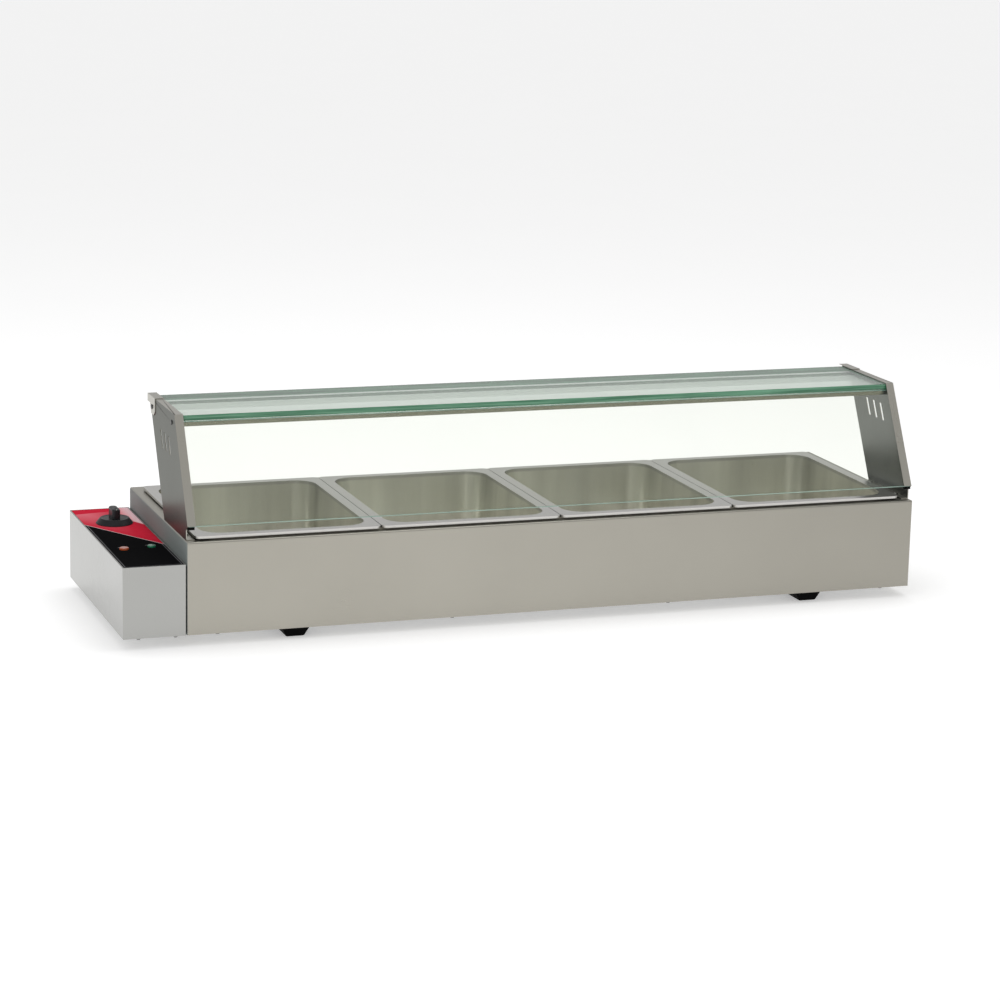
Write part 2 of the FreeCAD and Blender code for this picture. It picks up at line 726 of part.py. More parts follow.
def make_foot_fixings():
    """Bolts up through the feet and the base plate, with nuts inside."""
    bolts, nuts = [], []
    for label, (x, y) in FOOT_SPOTS.items():
        head = "foot_recess_depth - foot_height"
        bolts.append(screw(f"foot_bolt_{label}", (x, y, head), "down",
                           "foot_height - foot_recess_depth + foot_bolt_reach",
                           "bolt_tube", "foot_bolt_head", "nut_height"))
        nuts.append(nut(f"foot_nut_{label}", (x, y, "casing_sheet + plate_sheet")))
    settle(group("foot_bolts", bolts), "foot_bolts")
    settle(group("foot_nuts", nuts), "foot_nuts")


def make_base_screws():
    """Screws up through the casing's return flange into the base plate."""
    screws = [screw(f"base_screw_{number}", (x, y, "0"), "down", "casing_sheet + plate_sheet + thread_reach")
              for number, (x, y) in enumerate(BASE_SCREWS)]
    settle(group("base_screws", screws), "base_screws")


# ---- control box --------------------------------------------------------------------------------

def make_control_box():
    """Folded box with a ledge for the panel inside its top and a flange for the cover below."""
    inner_left, inner_right = f"{BOX_LEFT} + box_sheet / 2", f"{BOX_RIGHT} - box_sheet / 2"
    ledge = "(box_sheet + box_ledge)"
    body = new_body("control_box")
    plan = new_sketch(body, "box_plan", "XY")
    draw_rectangle(plan, BOX_LEFT, BOX_RIGHT, "0", "casing_depth")
    pad(body, "box_block", plan, "box_height")
    round_edges(body, "box_corners", "box_corner", upright)
    hollow(body, "box_shell", "box_sheet",
           lambda face: at_level("0")(face) or at_level("box_height")(face))
    for name, level in (("cover_flange", "0"), ("panel_ledge", f"{PANEL_TOP} - 2 * box_sheet")):
        rim = new_sketch(body, f"{name}_plan", "XY", level)
        draw_rectangle(rim, inner_left, inner_right, "box_sheet / 2", "casing_depth - box_sheet / 2")
        draw_rectangle(rim, f"{BOX_LEFT} + {ledge}", f"{BOX_RIGHT} - {ledge}",
                       ledge, f"casing_depth - {ledge}")
        pad(body, name, rim, "box_sheet")
    entries = new_sketch(body, "box_entry_plan", "YZ", f"{BOX_RIGHT} - 2 * box_sheet")
    for leg in HEATER_LEGS:
        draw_circle(entries, leg, HEATER_LEVEL, "heater_tube + entry_play")
    draw_circle(entries, "knob_back", "tank_floor - probe_tube / 2", "grommet_neck")
    for side, level in BOX_BOLTS:
        draw_circle(entries, side, level, "bolt_tube")
    pocket(body, "box_entries", entries, "3 * box_sheet", backwards=True)
    back = new_sketch(body, "inlet_plan", "XZ", "-casing_depth + 2 * box_sheet")
    draw_rectangle(back, f"{INLET_MIDDLE} - inlet_body_width / 2", f"{INLET_MIDDLE} + inlet_body_width / 2",
                   "inlet_level - inlet_body_height / 2", "inlet_level + inlet_body_height / 2")
    for way in ("-", "+"):
        draw_circle(back, f"{INLET_MIDDLE} {way} inlet_screws / 2", "inlet_level", "inlet_screw_tube")
    pocket(body, "inlet_cut", back, "3 * box_sheet")
    cover = new_sketch(body, "cover_holes_plan", "XY", "-box_sheet")
    for x, y in COVER_SCREWS:
        draw_circle(cover, x, y, "small_screw_tube")
    pocket(body, "cover_holes", cover, "3 * box_sheet", backwards=True)
    settle(body, "control_box")


def make_box_cover():
    """Plate that closes the control box from below."""
    inset = "(box_sheet + sheet_clearance)"
    body = new_body("box_cover")
    plan = new_sketch(body, "cover_plan", "XY", "box_sheet")
    draw_rectangle(plan, f"{BOX_LEFT} + {inset}", f"{BOX_RIGHT} - {inset}",
                   inset, f"casing_depth - {inset}")
    for x, y in COVER_SCREWS:
        draw_circle(plan, x, y, "small_screw_tube")
    pad(body, "cover_sheet", plan, "plate_sheet")
    settle(body, "box_cover")
    screws = [screw(f"cover_screw_{number}", (x, y, "0"), "down", "box_sheet + plate_sheet + thread_reach",
                    "small_screw_tube", "small_screw_head")
              for number, (x, y) in enumerate(COVER_SCREWS)]
    settle(group("cover_screws", screws), "cover_screws")


def make_box_joint():
    """Soft gasket between the control box and the casing, and the bolts that pull them together."""
    body = new_body("box_gasket")
    face = new_sketch(body, "gasket_plan", "YZ", BOX_RIGHT)
    draw_rectangle(face, "gasket_margin", "casing_depth - gasket_margin",
                   "gasket_margin", "box_height - gasket_margin")
    for leg in HEATER_LEGS:
        draw_circle(face, leg, HEATER_LEVEL, "heater_tube + entry_play")
    draw_circle(face, "knob_back", "tank_floor - probe_tube / 2", "grommet_neck")
    for side, level in BOX_BOLTS:
        draw_circle(face, side, level, "bolt_tube")
    pad(body, "gasket_sheet", face, "box_gap")
    settle(body, "box_gasket")
    bolts = [screw(f"box_bolt_{number}", (f"{BOX_RIGHT} - box_sheet", side, level), "left",
                   "box_sheet + box_gap + casing_sheet + bolt_reach", "bolt_tube", "bolt_head")
             for number, (side, level) in enumerate(BOX_BOLTS)]
    settle(group("box_bolts", bolts), "box_bolts")
    nuts = [nut(f"box_nut_{number}", ("casing_sheet", side, level), "right")
            for number, (side, level) in enumerate(BOX_BOLTS)]
    settle(group("box_nuts", nuts), "box_nuts")


def make_panel():
    """Control panel that drops into the top of the box, and the printed overlay stuck on it."""
    inset = "(box_sheet + sheet_clearance)"
    x_left, x_right = f"{BOX_LEFT} + {inset}", f"{BOX_RIGHT} - {inset}"
    y_front, y_back = inset, f"casing_depth - {inset}"
    screw_spots = [(KNOB_SPOT[0], f"{KNOB_SPOT[1]} {way} thermostat_screws / 2") for way in ("-", "+")]
    body = new_body("control_panel")
    plan = new_sketch(body, "panel_plan", "XY", f"{PANEL_TOP} - box_sheet")
    draw_rectangle(plan, x_left, x_right, y_front, y_back)
    for x, y, _ in LAMPS.values():
        draw_circle(plan, x, y, "lamp_tube")
    draw_circle(plan, *KNOB_SPOT, "bush_tube")
    for x, y in screw_spots:
        draw_circle(plan, x, y, "screw_tube")
    pad(body, "panel_sheet", plan, "box_sheet")
    settle(body, "control_panel")

    overlay = new_body("panel_overlay")
    film = new_sketch(overlay, "overlay_plan", "XY", PANEL_TOP)
    draw_rectangle(film, f"{x_left} + decal_margin", f"{x_right} - decal_margin",
                   f"{y_front} + decal_margin", f"{y_back} - decal_margin")
    for x, y, _ in LAMPS.values():
        draw_circle(film, x, y, "lamp_tube")
    draw_circle(film, *KNOB_SPOT, "thermostat_screws + screw_head + 2")
    pad(overlay, "overlay_film", film, "decal_sheet")
    settle(overlay, "panel_overlay")

    screws = [screw(f"thermostat_screw_{number}", (x, y, PANEL_TOP), "up", "box_sheet + thread_reach",
                    head="small_screw_head")
              for number, (x, y) in enumerate(screw_spots)]
    settle(group("thermostat_screws", screws), "thermostat_screws")


def make_lamps():
    """Two neon lamps pressed into the panel, each a coloured lens on a housing."""
    for name, (x, y, lens) in LAMPS.items():
        body = new_body(f"{name}_lens")
        plan = new_sketch(body, f"{name}_plan", "XY", f"{PANEL_TOP} + decal_sheet")
        draw_circle(plan, x, y, lens)
        pad(body, f"{name}_disc", plan, "lens_height")
        round_edges(body, f"{name}_dome", "lens_round",
                    at_level(f"{PANEL_TOP} + decal_sheet + lens_height"))
        settle(body, f"{name}_lens")
        housing = solid("Part::Cylinder", f"{name}_tube", Radius="lamp_tube / 2", Height="lamp_length")
        settle(housing, f"{name}_housing", (x, y, f"{PANEL_TOP} + decal_sheet - lamp_length"))


def make_knob():
    """Moulded knob: a hollow skirt, a boss on the shaft and a bar to grip, with a pointer let in."""
    base = f"({PANEL_TOP} + decal_sheet + knob_gap)"
    body = new_body("control_knob")
    half = new_sketch(body, "skirt_half", "XZ")
    draw_outline(half, [("shaft_tube / 2", "knob_wall"), ("bush_tube / 2 + knob_wall", "knob_wall"),
                        ("bush_tube / 2 + knob_wall", "knob_skirt_height - knob_wall"),
                        ("knob_skirt_top / 2 - knob_wall", "knob_skirt_height - knob_wall"),
                        ("knob_skirt / 2 - knob_wall", "0"), ("knob_skirt / 2", "0"),
                        ("knob_skirt / 2", "knob_wall / 2"),
                        ("knob_skirt_top / 2", "knob_skirt_height"),
                        ("shaft_tube / 2", "knob_skirt_height")])
    skirt = body.newObject("PartDesign::Revolution", "skirt")
    skirt.Profile = half
    skirt.ReferenceAxis = (half, ["V_Axis"])
    skirt.Angle = 360
    doc.recompute()
    grip = new_sketch(body, "grip_plan", "XY", "knob_skirt_height")
    draw_rectangle(grip, "-knob_grip_width / 2", "knob_grip_width / 2",
                   "-knob_grip_length / 2", "knob_grip_length / 2")
    pad(body, "grip_block", grip, "knob_height - knob_skirt_height")
    round_edges(body, "grip_ends", "knob_grip_width / 3",
                lambda edge: upright(edge) and edge.BoundBox.ZMax > value("knob_height") - 1e-6)
    bore = new_sketch(body, "bore_plan", "XY", "knob_skirt_height - knob_wall")
    draw_circle(bore, "0", "0", "shaft_tube")
    pocket(body, "shaft_bore", bore, "shaft_reach - knob_skirt_height + knob_wall", backwards=True)
    groove = new_sketch(body, "groove_plan", "XY", "knob_height - pointer_sheet")
    draw_rectangle(groove, "-pointer_width / 2", "pointer_width / 2",
                   "pointer_margin - knob_grip_length / 2",
                   "pointer_margin + pointer_length - knob_grip_length / 2")
    pocket(body, "pointer_groove", groove, "2 * pointer_sheet", backwards=True)
    settle(body, "control_knob", (*KNOB_SPOT, base))
    pointer = solid("Part::Box", "pointer_strip",
                    Length="pointer_width", Width="pointer_length", Height="pointer_sheet")
    settle(pointer, "knob_pointer", (f"{KNOB_SPOT[0]} - pointer_width / 2",
                                     f"{KNOB_SPOT[1]} + pointer_margin - knob_grip_length / 2",
                                     f"{base} + knob_height - pointer_sheet"))


def make_thermostat():
    """Capillary thermostat screwed under the panel, its turning shaft, and its probe under the tank."""
    body = new_body("thermostat_body")
    block = new_sketch(body, "thermostat_plan", "XY", f"{PANEL_TOP} - box_sheet - thermostat_height")
    draw_rectangle(block, "-thermostat_width / 2", "thermostat_width / 2",
                   "-thermostat_length / 2", "thermostat_length / 2")
    pad(body, "thermostat_block", block, "thermostat_height")
    neck = new_sketch(body, "bush_plan", "XY", f"{PANEL_TOP} - 2 * box_sheet")
    draw_circle(neck, "0", "0", "bush_tube")
    pad(body, "bush", neck, "2 * box_sheet + decal_sheet")
    bore = new_sketch(body, "thermostat_bore_plan", "XY",
                      f"{PANEL_TOP} - box_sheet - thermostat_height / 2")
    draw_circle(bore, "0", "0", "shaft_tube + 2 * shaft_clearance")
    pocket(body, "thermostat_bore", bore, "thermostat_height", backwards=True)
    holes = new_sketch(body, "thermostat_hole_plan", "XY", f"{PANEL_TOP} - box_sheet - 1.2 * thread_reach")
    for way in ("-", "+"):
        draw_circle(holes, "0", f"{way}thermostat_screws / 2", "screw_tube")
    pocket(body, "thermostat_holes", holes, "2 * thread_reach", backwards=True)
    settle(body, "thermostat_body", (*KNOB_SPOT, "0"))

    foot = f"({PANEL_TOP} - box_sheet - thermostat_height / 2 + sheet_clearance)"
    top = f"({PANEL_TOP} + decal_sheet + knob_gap + shaft_reach)"
    shaft = solid("Part::Cylinder", "shaft_bar", Radius="shaft_tube / 2", Height=f"{top} - {foot}")
    settle(shaft, "thermostat_shaft", (*KNOB_SPOT, foot))

    probe_level = "(tank_floor - probe_tube / 2)"
    probe = new_body("thermostat_probe")
    path = new_sketch(probe, "probe_path", "XZ", "-knob_back")
    draw_bent_path(path, (KNOB_SPOT[0], f"{PANEL_TOP} - box_sheet - thermostat_height"),
                   (f"{KNOB_SPOT[0]} + probe_bend", f"{probe_level} + probe_bend"), "probe_bend",
                   ("probe_start", probe_level), math.pi, 1.5 * math.pi)
    section = new_sketch(probe, "probe_section", "XY", f"{PANEL_TOP} - box_sheet - thermostat_height")
    draw_circle(section, *KNOB_SPOT, "capillary_tube")
    tube = probe.newObject("PartDesign::AdditivePipe", "capillary")
    tube.Profile = section
    tube.Spine = (path, ["Edge1", "Edge2", "Edge3"])
    doc.recompute()
    bulb = new_sketch(probe, "bulb_plan", "YZ", "probe_start - 1")
    draw_circle(bulb, "knob_back", probe_level, "probe_tube")
    pad(probe, "bulb", bulb, "probe_length")
    settle(probe, "thermostat_probe")

    grommet = new_body("probe_grommet")
    half = new_sketch(grommet, "grommet_plan", "YZ", f"{BOX_RIGHT} - box_sheet - grommet_lip")
    draw_circle(half, "knob_back", probe_level, "grommet_flange")
    draw_circle(half, "knob_back", probe_level, "capillary_tube")
    pad(grommet, "grommet_flange", half, "grommet_lip")
    neck = new_sketch(grommet, "grommet_neck_plan", "YZ", f"{BOX_RIGHT} - box_sheet")
    draw_circle(neck, "knob_back", probe_level, "grommet_neck")
    draw_circle(neck, "knob_back", probe_level, "capillary_tube")
    pad(grommet, "grommet_neck", neck, "box_sheet + box_gap + casing_sheet + 1")
    settle(grommet, "probe_grommet")


def make_inlet():
    """Panel-mounted power socket on the back of the control box, with its three pins and screws."""
    low_x, high_x = f"({INLET_MIDDLE} - inlet_body_width / 2)", f"({INLET_MIDDLE} + inlet_body_width / 2)"
    low_z, high_z = "(inlet_level - inlet_body_height / 2)", "(inlet_level + inlet_body_height / 2)"
    body = new_body("inlet_socket")
    plate = new_sketch(body, "inlet_flange_plan", "XZ", "-casing_depth - inlet_flange")
    draw_rectangle(plate, f"{INLET_MIDDLE} - inlet_width / 2", f"{INLET_MIDDLE} + inlet_width / 2",
                   "inlet_level - inlet_height / 2", "inlet_level + inlet_height / 2")
    for way in ("-", "+"):
        draw_circle(plate, f"{INLET_MIDDLE} {way} inlet_screws / 2", "inlet_level", "inlet_screw_tube")
    pad(body, "inlet_plate", plate, "inlet_flange")
    seats = new_sketch(body, "inlet_seat_plan", "XZ", "-casing_depth - inlet_flange")
    for way in ("-", "+"):
        draw_circle(seats, f"{INLET_MIDDLE} {way} inlet_screws / 2", "inlet_level", "inlet_screw_head")
    pocket(body, "inlet_seats", seats, "inlet_flange / 2", backwards=True)
    block = new_sketch(body, "inlet_block_plan", "XZ", "-casing_depth")
    draw_rectangle(block, low_x, high_x, low_z, high_z)
    pad(body, "inlet_block", block, "inlet_depth")
    mouth = new_sketch(body, "inlet_mouth_plan", "XZ", "-casing_depth - 2 * inlet_flange")
    draw_rectangle(mouth, f"{low_x} + inlet_wall", f"{high_x} - inlet_wall",
                   f"{low_z} + inlet_wall", f"{high_z} - inlet_wall")
    pocket(body, "inlet_mouth", mouth, "inlet_depth + 2 * inlet_flange - inlet_wall", backwards=True)
    settle(body, "inlet_socket")
    pins = [solid("Part::Box", f"inlet_pin_{number}",
                  (f"{INLET_MIDDLE} + {shift} * pin_pitch - pin_width / 2",
                   "casing_depth - inlet_depth + inlet_wall",
                   f"inlet_level + {rise} * pin_width - pin_height / 2"),
                  Length="pin_width", Width="inlet_depth - 3 * inlet_wall", Height="pin_height")
            for number, (shift, rise) in enumerate(((-1, -1), (0, 1), (1, -1)))]
    settle(group("inlet_pins", pins), "inlet_pins")
    screws = [screw(f"inlet_screw_{number}",
                    (f"{INLET_MIDDLE} {way} inlet_screws / 2",
                     "casing_depth + inlet_flange / 2", "inlet_level"),
                    "back", "inlet_flange / 2 + box_sheet + thread_reach",
                    "inlet_screw_tube", "inlet_screw_head", "inlet_flange / 2")
              for number, way in enumerate(("-", "+"))]
    settle(group("inlet_screws", screws), "inlet_screws")


def make_wiring_points():
    """Terminal block and earth stud standing on the control box's cover."""
    level = "(box_sheet + plate_sheet)"
    left = f"({BOX_LEFT} + block_side)"
    middle = f"({left} + block_width / 2)"
    block = solid("Part::Box", "block_blank", (left, "block_front", level),
                  Length="block_width", Width="block_length", Height="block_height")
    heads = []
    for number in range(3):
        row = f"(block_front + block_length * {2 * number + 1} / 6)"
        way = solid("Part::Cylinder", f"block_way_{number}", (left, row, f"{level} + block_height / 3"),
                    "right", Radius="terminal_tube / 2", Height="block_width")
        hole = solid("Part::Cylinder", f"block_hole_{number}", (middle, row, f"{level} + block_height / 2"),
                     Radius="terminal_screw_tube / 2", Height="block_height")
        tool = boolean("Part::Fuse", f"block_tool_{number}", way, hole)
        block = boolean("Part::Cut", f"block_cut_{number}", block, tool)
        heads.append(screw(f"terminal_screw_{number}", (middle, row, f"{level} + block_height"), "up",
                           "block_height / 3", "terminal_screw_tube", "terminal_screw_head", "plate_sheet"))
    settle(block, "terminal_block")
    settle(group("terminal_screws", heads), "terminal_screws")
    earth = (f"({BOX_LEFT} + earth_side)", "earth_front")
    stud = solid("Part::Cylinder", "earth_bar", Radius="bolt_tube / 2", Height="earth_length")
    settle(stud, "earth_stud", (*earth, level))
    settle(nut("earth_nut_hex", ("0", "0", "0")), "earth_nut", (*earth, f"{level} + nut_height / 2"))


# ---- glass guard --------------------------------------------------------------------------------

def along_front(rise):
    """How far back the guard's sloping front edge stands at a height above the casing."""
    return f"(guard_nose + guard_slope * ({rise} - guard_step - guard_step_rise))"


def side_level(height):
    return f"(casing_height + {height})"


def make_brackets():
    """Side brackets: laser-cut plates folded inwards along the foot, the front and the top."""
    rear_top = "(guard_foot_back + guard_slope * guard_height)"
    inner = "(guard_height - guard_sheet)"
    thick = "(guard_sheet * sqrt(1 + guard_slope * guard_slope))"
    nose = "(guard_step + guard_step_rise)"
    for side in ("left", "right"):
        mirrored = side == "right"
        face = "(casing_length - guard_inset)" if mirrored else "guard_inset"
        body = new_body(f"bracket_{side}")
        plate = new_sketch(body, f"{side}_plate_plan", "YZ", face)
        draw_outline(plate, [("guard_riser", side_level("0")), ("guard_foot_back", side_level("0")),
                             (rear_top, side_level("guard_height")),
                             (along_front("guard_height"), side_level("guard_height")),
                             ("guard_nose", side_level(nose)), ("guard_riser", side_level("guard_step"))])
        pad(body, f"{side}_plate", plate, "guard_sheet", mirrored)
        slots = new_sketch(body, f"{side}_slot_plan", "YZ", face)
        for number in range(3):
            low = f"(slot_front + {number} * slot_pitch)"
            high = f"({low} + guard_slope * (slot_top - slot_bottom))"
            draw_outline(slots, [(f"{low} - slot_width / 2", side_level("slot_bottom")),
                                 (f"{low} + slot_width / 2", side_level("slot_bottom")),
                                 (f"{high} + slot_width / 2", side_level("slot_top")),
                                 (f"{high} - slot_width / 2", side_level("slot_top"))])
        for centre in RAILS.values():
            draw_circle(slots, centre, f"{RAIL_TOP} - rail_height / 2", "screw_tube")
        pocket(body, f"{side}_slots", slots, "guard_sheet", backwards=not mirrored)
        fold = new_sketch(body, f"{side}_fold_plan", "YZ", face)
        draw_outline(fold, [("guard_nose", side_level(nose)), (f"guard_nose + {thick}", side_level(nose)),
                            (f"{along_front(inner)} + {thick}", side_level(inner)),
                            (f"{rear_top} - guard_slope * guard_sheet", side_level(inner)),
                            (rear_top, side_level("guard_height")),
                            (along_front("guard_height"), side_level("guard_height"))])
        pad(body, f"{side}_fold", fold, "guard_flange", mirrored)
        foot = new_sketch(body, f"{side}_foot_plan", "YZ", face)
        draw_rectangle(foot, "guard_riser", "guard_foot_back", side_level("0"), side_level("guard_sheet"))
        pad(body, f"{side}_foot", foot, "guard_flange", mirrored)
        holes = new_sketch(body, f"{side}_foot_holes", "XY", "casing_height")
        for depth in ("bracket_screw_front", "bracket_screw_back"):
            draw_circle(holes, "(casing_length - bracket_screw_side)" if mirrored else "bracket_screw_side",
                        depth, "screw_tube")
        pocket(body, f"{side}_foot_cut", holes, "guard_sheet", backwards=True)
        settle(body, f"bracket_{side}")


def make_bracket_screws():
    """Screws down through the brackets' feet into the casing's top."""
    screws = []
    for side in ("bracket_screw_side", "(casing_length - bracket_screw_side)"):
        for depth in ("bracket_screw_front", "bracket_screw_back"):
            spot = (side, depth, side_level("guard_sheet"))
            screws.append(screw(f"bracket_screw_{len(screws)}", spot, "up",
                                "guard_sheet + casing_sheet + thread_reach", head="small_screw_head"))
    settle(group("bracket_screws", screws), "bracket_screws")


def make_clips():
    """Bent caps over the brackets' rear top corners, held by the rear rail's screws."""
    rear_top = "(guard_foot_back + guard_slope * guard_height)"
    for side in ("left", "right"):
        mirrored = side == "right"
        outer = "(casing_length - guard_inset + clip_sheet)" if mirrored else "(guard_inset - clip_sheet)"
        body = new_body(f"clip_{side}")
        cheek = new_sketch(body, f"{side}_cheek_plan", "YZ", outer)
        top = side_level("guard_height + clip_sheet")
        ear, drop = side_level("guard_height - clip_ear"), side_level("guard_height - clip_drop")
        draw_outline(cheek, [("clip_front", top), ("clip_front", f"{ear} + clip_corner"),
                             ("clip_front + clip_corner", ear),
                             (f"{rear_top} - guard_slope * clip_ear", ear),
                             (f"{rear_top} - guard_slope * clip_drop", drop),
                             ("clip_back", drop), ("clip_back", top)])
        draw_circle(cheek, "rail_rear", f"{RAIL_TOP} - rail_height / 2", "screw_tube")
        pad(body, f"{side}_cheek", cheek, "clip_sheet", mirrored)
        cap = new_sketch(body, f"{side}_cap_plan", "YZ", outer)
        draw_rectangle(cap, "clip_front", "clip_back", side_level("guard_height"), top)
        pad(body, f"{side}_cap", cap, "guard_flange + clip_sheet", mirrored)
        settle(body, f"clip_{side}")


def make_rails():
    """Two shallow channels between the brackets, closed at their ends, that carry the shelf."""
    for label, centre in RAILS.items():
        body = new_body(label)
        plan = new_sketch(body, f"{label}_plan", "XY", f"{RAIL_TOP} - rail_height")
        draw_rectangle(plan, GUARD_LEFT, GUARD_RIGHT,
                       f"{centre} - rail_width / 2", f"{centre} + rail_width / 2")
        pad(body, f"{label}_block", plan, "rail_height")
        hollow(body, f"{label}_channel", "rail_sheet", at_level(f"{RAIL_TOP} - rail_height"))
        ends = new_sketch(body, f"{label}_holes", "YZ", "0")
        draw_circle(ends, centre, f"{RAIL_TOP} - rail_height / 2", "screw_tube")
        pocket(body, f"{label}_end_holes", ends, "casing_length", backwards=True)
        settle(body, label)
    screws = []
    level = f"{RAIL_TOP} - rail_height / 2"
    for centre, sheet in (("rail_front", "0"), ("rail_rear", "clip_sheet")):
        outer = f"(guard_inset - {sheet})"
        length = f"guard_sheet + rail_sheet + {sheet} + thread_reach"
        for facing, side in (("left", outer), ("right", f"(casing_length - {outer})")):
            screws.append(screw(f"rail_screw_{len(screws)}", (side, centre, level), facing, length,
                                head_height="side_head_height"))
    settle(group("rail_screws", screws), "rail_screws")


def make_glass():
    """Thick shelf pane on the rails, thin sloping pane behind the front folds, and its two seats."""
    shelf = new_body("top_glass")
    plan = new_sketch(shelf, "shelf_plan", "XY", RAIL_TOP)
    draw_rectangle(plan, f"{GUARD_LEFT} + glass_gap", f"{GUARD_RIGHT} - glass_gap",
                   "top_glass_front", "top_glass_back")
    pad(shelf, "shelf_pane", plan, "top_glass")
    settle(shelf, "top_glass")

    lean = "sqrt(1 + guard_slope * guard_slope)"
    high = f"({RAIL_TOP} - casing_height - glass_gap)"
    front = f"((guard_sheet + glass_gap / 2) * {lean})"
    back = f"((guard_sheet + glass_gap / 2 + front_glass) * {lean})"
    pane = new_body("front_glass")
    profile = new_sketch(pane, "pane_plan", "YZ", f"{GUARD_LEFT} + glass_gap")
    low = along_front("front_glass_bottom")
    draw_outline(profile, [(f"{low} + {front}", side_level("front_glass_bottom")),
                           (f"{low} + {back}", side_level("front_glass_bottom")),
                           (f"{along_front(high)} + {back}", side_level(high)),
                           (f"{along_front(high)} + {front}", side_level(high))])
    pad(pane, "pane", profile, f"{GUARD_RIGHT} - {GUARD_LEFT} - 2 * glass_gap")
    settle(pane, "front_glass")

    seats = []
    for number, corner in enumerate((GUARD_LEFT, f"({GUARD_RIGHT} - seat_length)")):
        seats.append(solid("Part::Box", f"glass_seat_{number}",
                           (corner, f"{low} + {front}", side_level("front_glass_bottom - seat_height")),
                           Length="seat_length", Width=f"{back} - {front}", Height="seat_height"))
    settle(group("glass_seats", seats), "glass_seats")


# ---- pans ---------------------------------------------------------------------------------------

def make_pans():
    """Pressed half-size pans: a tapered basin under a flat rim that is turned down at its edge."""
    basin = ("pan_rim", "pan_width - pan_rim", "pan_rim", "pan_length - pan_rim")
    for number in range(4):
        label = f"pan_{number + 1}"
        body = new_body(label)
        mouth = new_sketch(body, f"{label}_mouth", "XY")
        draw_rounded(mouth, *basin, "pan_wall_corner")
        pad(body, f"{label}_basin", mouth, "pan_depth", backwards=True, taper="-pan_draft")
        inside = new_sketch(body, f"{label}_inside", "XY")
        draw_rounded(inside, "pan_rim + pan_sheet", "pan_width - pan_rim - pan_sheet",
                     "pan_rim + pan_sheet", "pan_length - pan_rim - pan_sheet",
                     "pan_wall_corner - pan_sheet")
        pocket(body, f"{label}_hollow", inside, "pan_depth - pan_sheet", taper="-pan_draft")
        round_edges(body, f"{label}_inside_round", "pan_floor_round - pan_sheet",
                    at_level("pan_sheet - pan_depth"))
        round_edges(body, f"{label}_floor_round", "pan_floor_round", at_level("-pan_depth"))
        rim = new_sketch(body, f"{label}_rim_plan", "XY", "-pan_sheet")
        draw_rounded(rim, "0", "pan_width", "0", "pan_length", "pan_rim_corner")
        draw_rounded(rim, "pan_rim + pan_sheet / 2", "pan_width - pan_rim - pan_sheet / 2",
                     "pan_rim + pan_sheet / 2", "pan_length - pan_rim - pan_sheet / 2",
                     "pan_wall_corner - pan_sheet / 2")
        pad(body, f"{label}_rim", rim, "pan_sheet")
        edge = new_sketch(body, f"{label}_edge_plan", "XY", "-pan_rim_drop")
        draw_rounded(edge, "0", "pan_width", "0", "pan_length", "pan_rim_corner")
        draw_rounded(edge, "pan_sheet", "pan_width - pan_sheet", "pan_sheet", "pan_length - pan_sheet",
                     "pan_rim_corner - pan_sheet")
        pad(body, f"{label}_edge", edge, "pan_rim_drop - pan_sheet / 2")
        settle(body, label, (f"pan_start + {number} * pan_pitch", "pan_front",
                             "casing_height + pan_rim_height"))


# ---- the whole ----------------------------------------------------------------------------------

make_outer_casing()
make_base_plate()
make_water_tank()
make_heater("heater_front", "heater_front")
make_heater("heater_rear", "heater_rear")
make_heater_nuts()
make_clamps()
make_insulation()
make_limiter()
make_feet()
make_foot_fixings()
make_base_screws()
make_control_box()
make_box_cover()
make_box_joint()
make_panel()
make_lamps()
make_knob()
make_thermostat()
make_inlet()
make_wiring_points()
make_brackets()
make_bracket_screws()
make_clips()
make_rails()
make_glass()
make_pans()
doc.recompute()

failed = [item.Name for item in doc.Objects if "Invalid" in item.State or "Error" in item.State]
failed += [piece.Label for piece in pieces if piece.Shape.isNull() or not piece.Shape.isValid()]
if failed:
    raise RuntimeError(f"not built: {failed}")

os.makedirs("parts", exist_ok=True)
for piece in pieces:
    piece.Shape.exportStep(f"parts/{piece.Label}.step")
print(f"{len(pieces)} pieces written")
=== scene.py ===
import bpy
import bmesh
import math
from mathutils import Matrix, Vector


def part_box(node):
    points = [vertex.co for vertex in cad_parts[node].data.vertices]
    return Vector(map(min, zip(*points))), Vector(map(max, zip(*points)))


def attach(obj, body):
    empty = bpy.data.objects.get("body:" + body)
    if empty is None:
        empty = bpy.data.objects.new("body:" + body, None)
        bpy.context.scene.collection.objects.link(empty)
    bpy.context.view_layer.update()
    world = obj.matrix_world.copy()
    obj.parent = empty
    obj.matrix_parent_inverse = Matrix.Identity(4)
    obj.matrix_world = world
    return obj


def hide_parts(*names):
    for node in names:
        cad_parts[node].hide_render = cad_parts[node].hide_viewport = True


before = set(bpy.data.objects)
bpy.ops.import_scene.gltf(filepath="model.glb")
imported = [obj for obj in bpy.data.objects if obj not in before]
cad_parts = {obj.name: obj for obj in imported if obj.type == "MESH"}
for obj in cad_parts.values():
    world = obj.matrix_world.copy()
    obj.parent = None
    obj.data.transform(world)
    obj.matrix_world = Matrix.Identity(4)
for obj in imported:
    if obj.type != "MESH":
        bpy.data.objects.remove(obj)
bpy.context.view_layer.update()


# ---- Studio: pale floor, soft light and the camera -------------------------------------------
# The warmer stands on a pale matt floor in a bright, even studio. The light comes from large
# softboxes: one overhead and one at the front left.

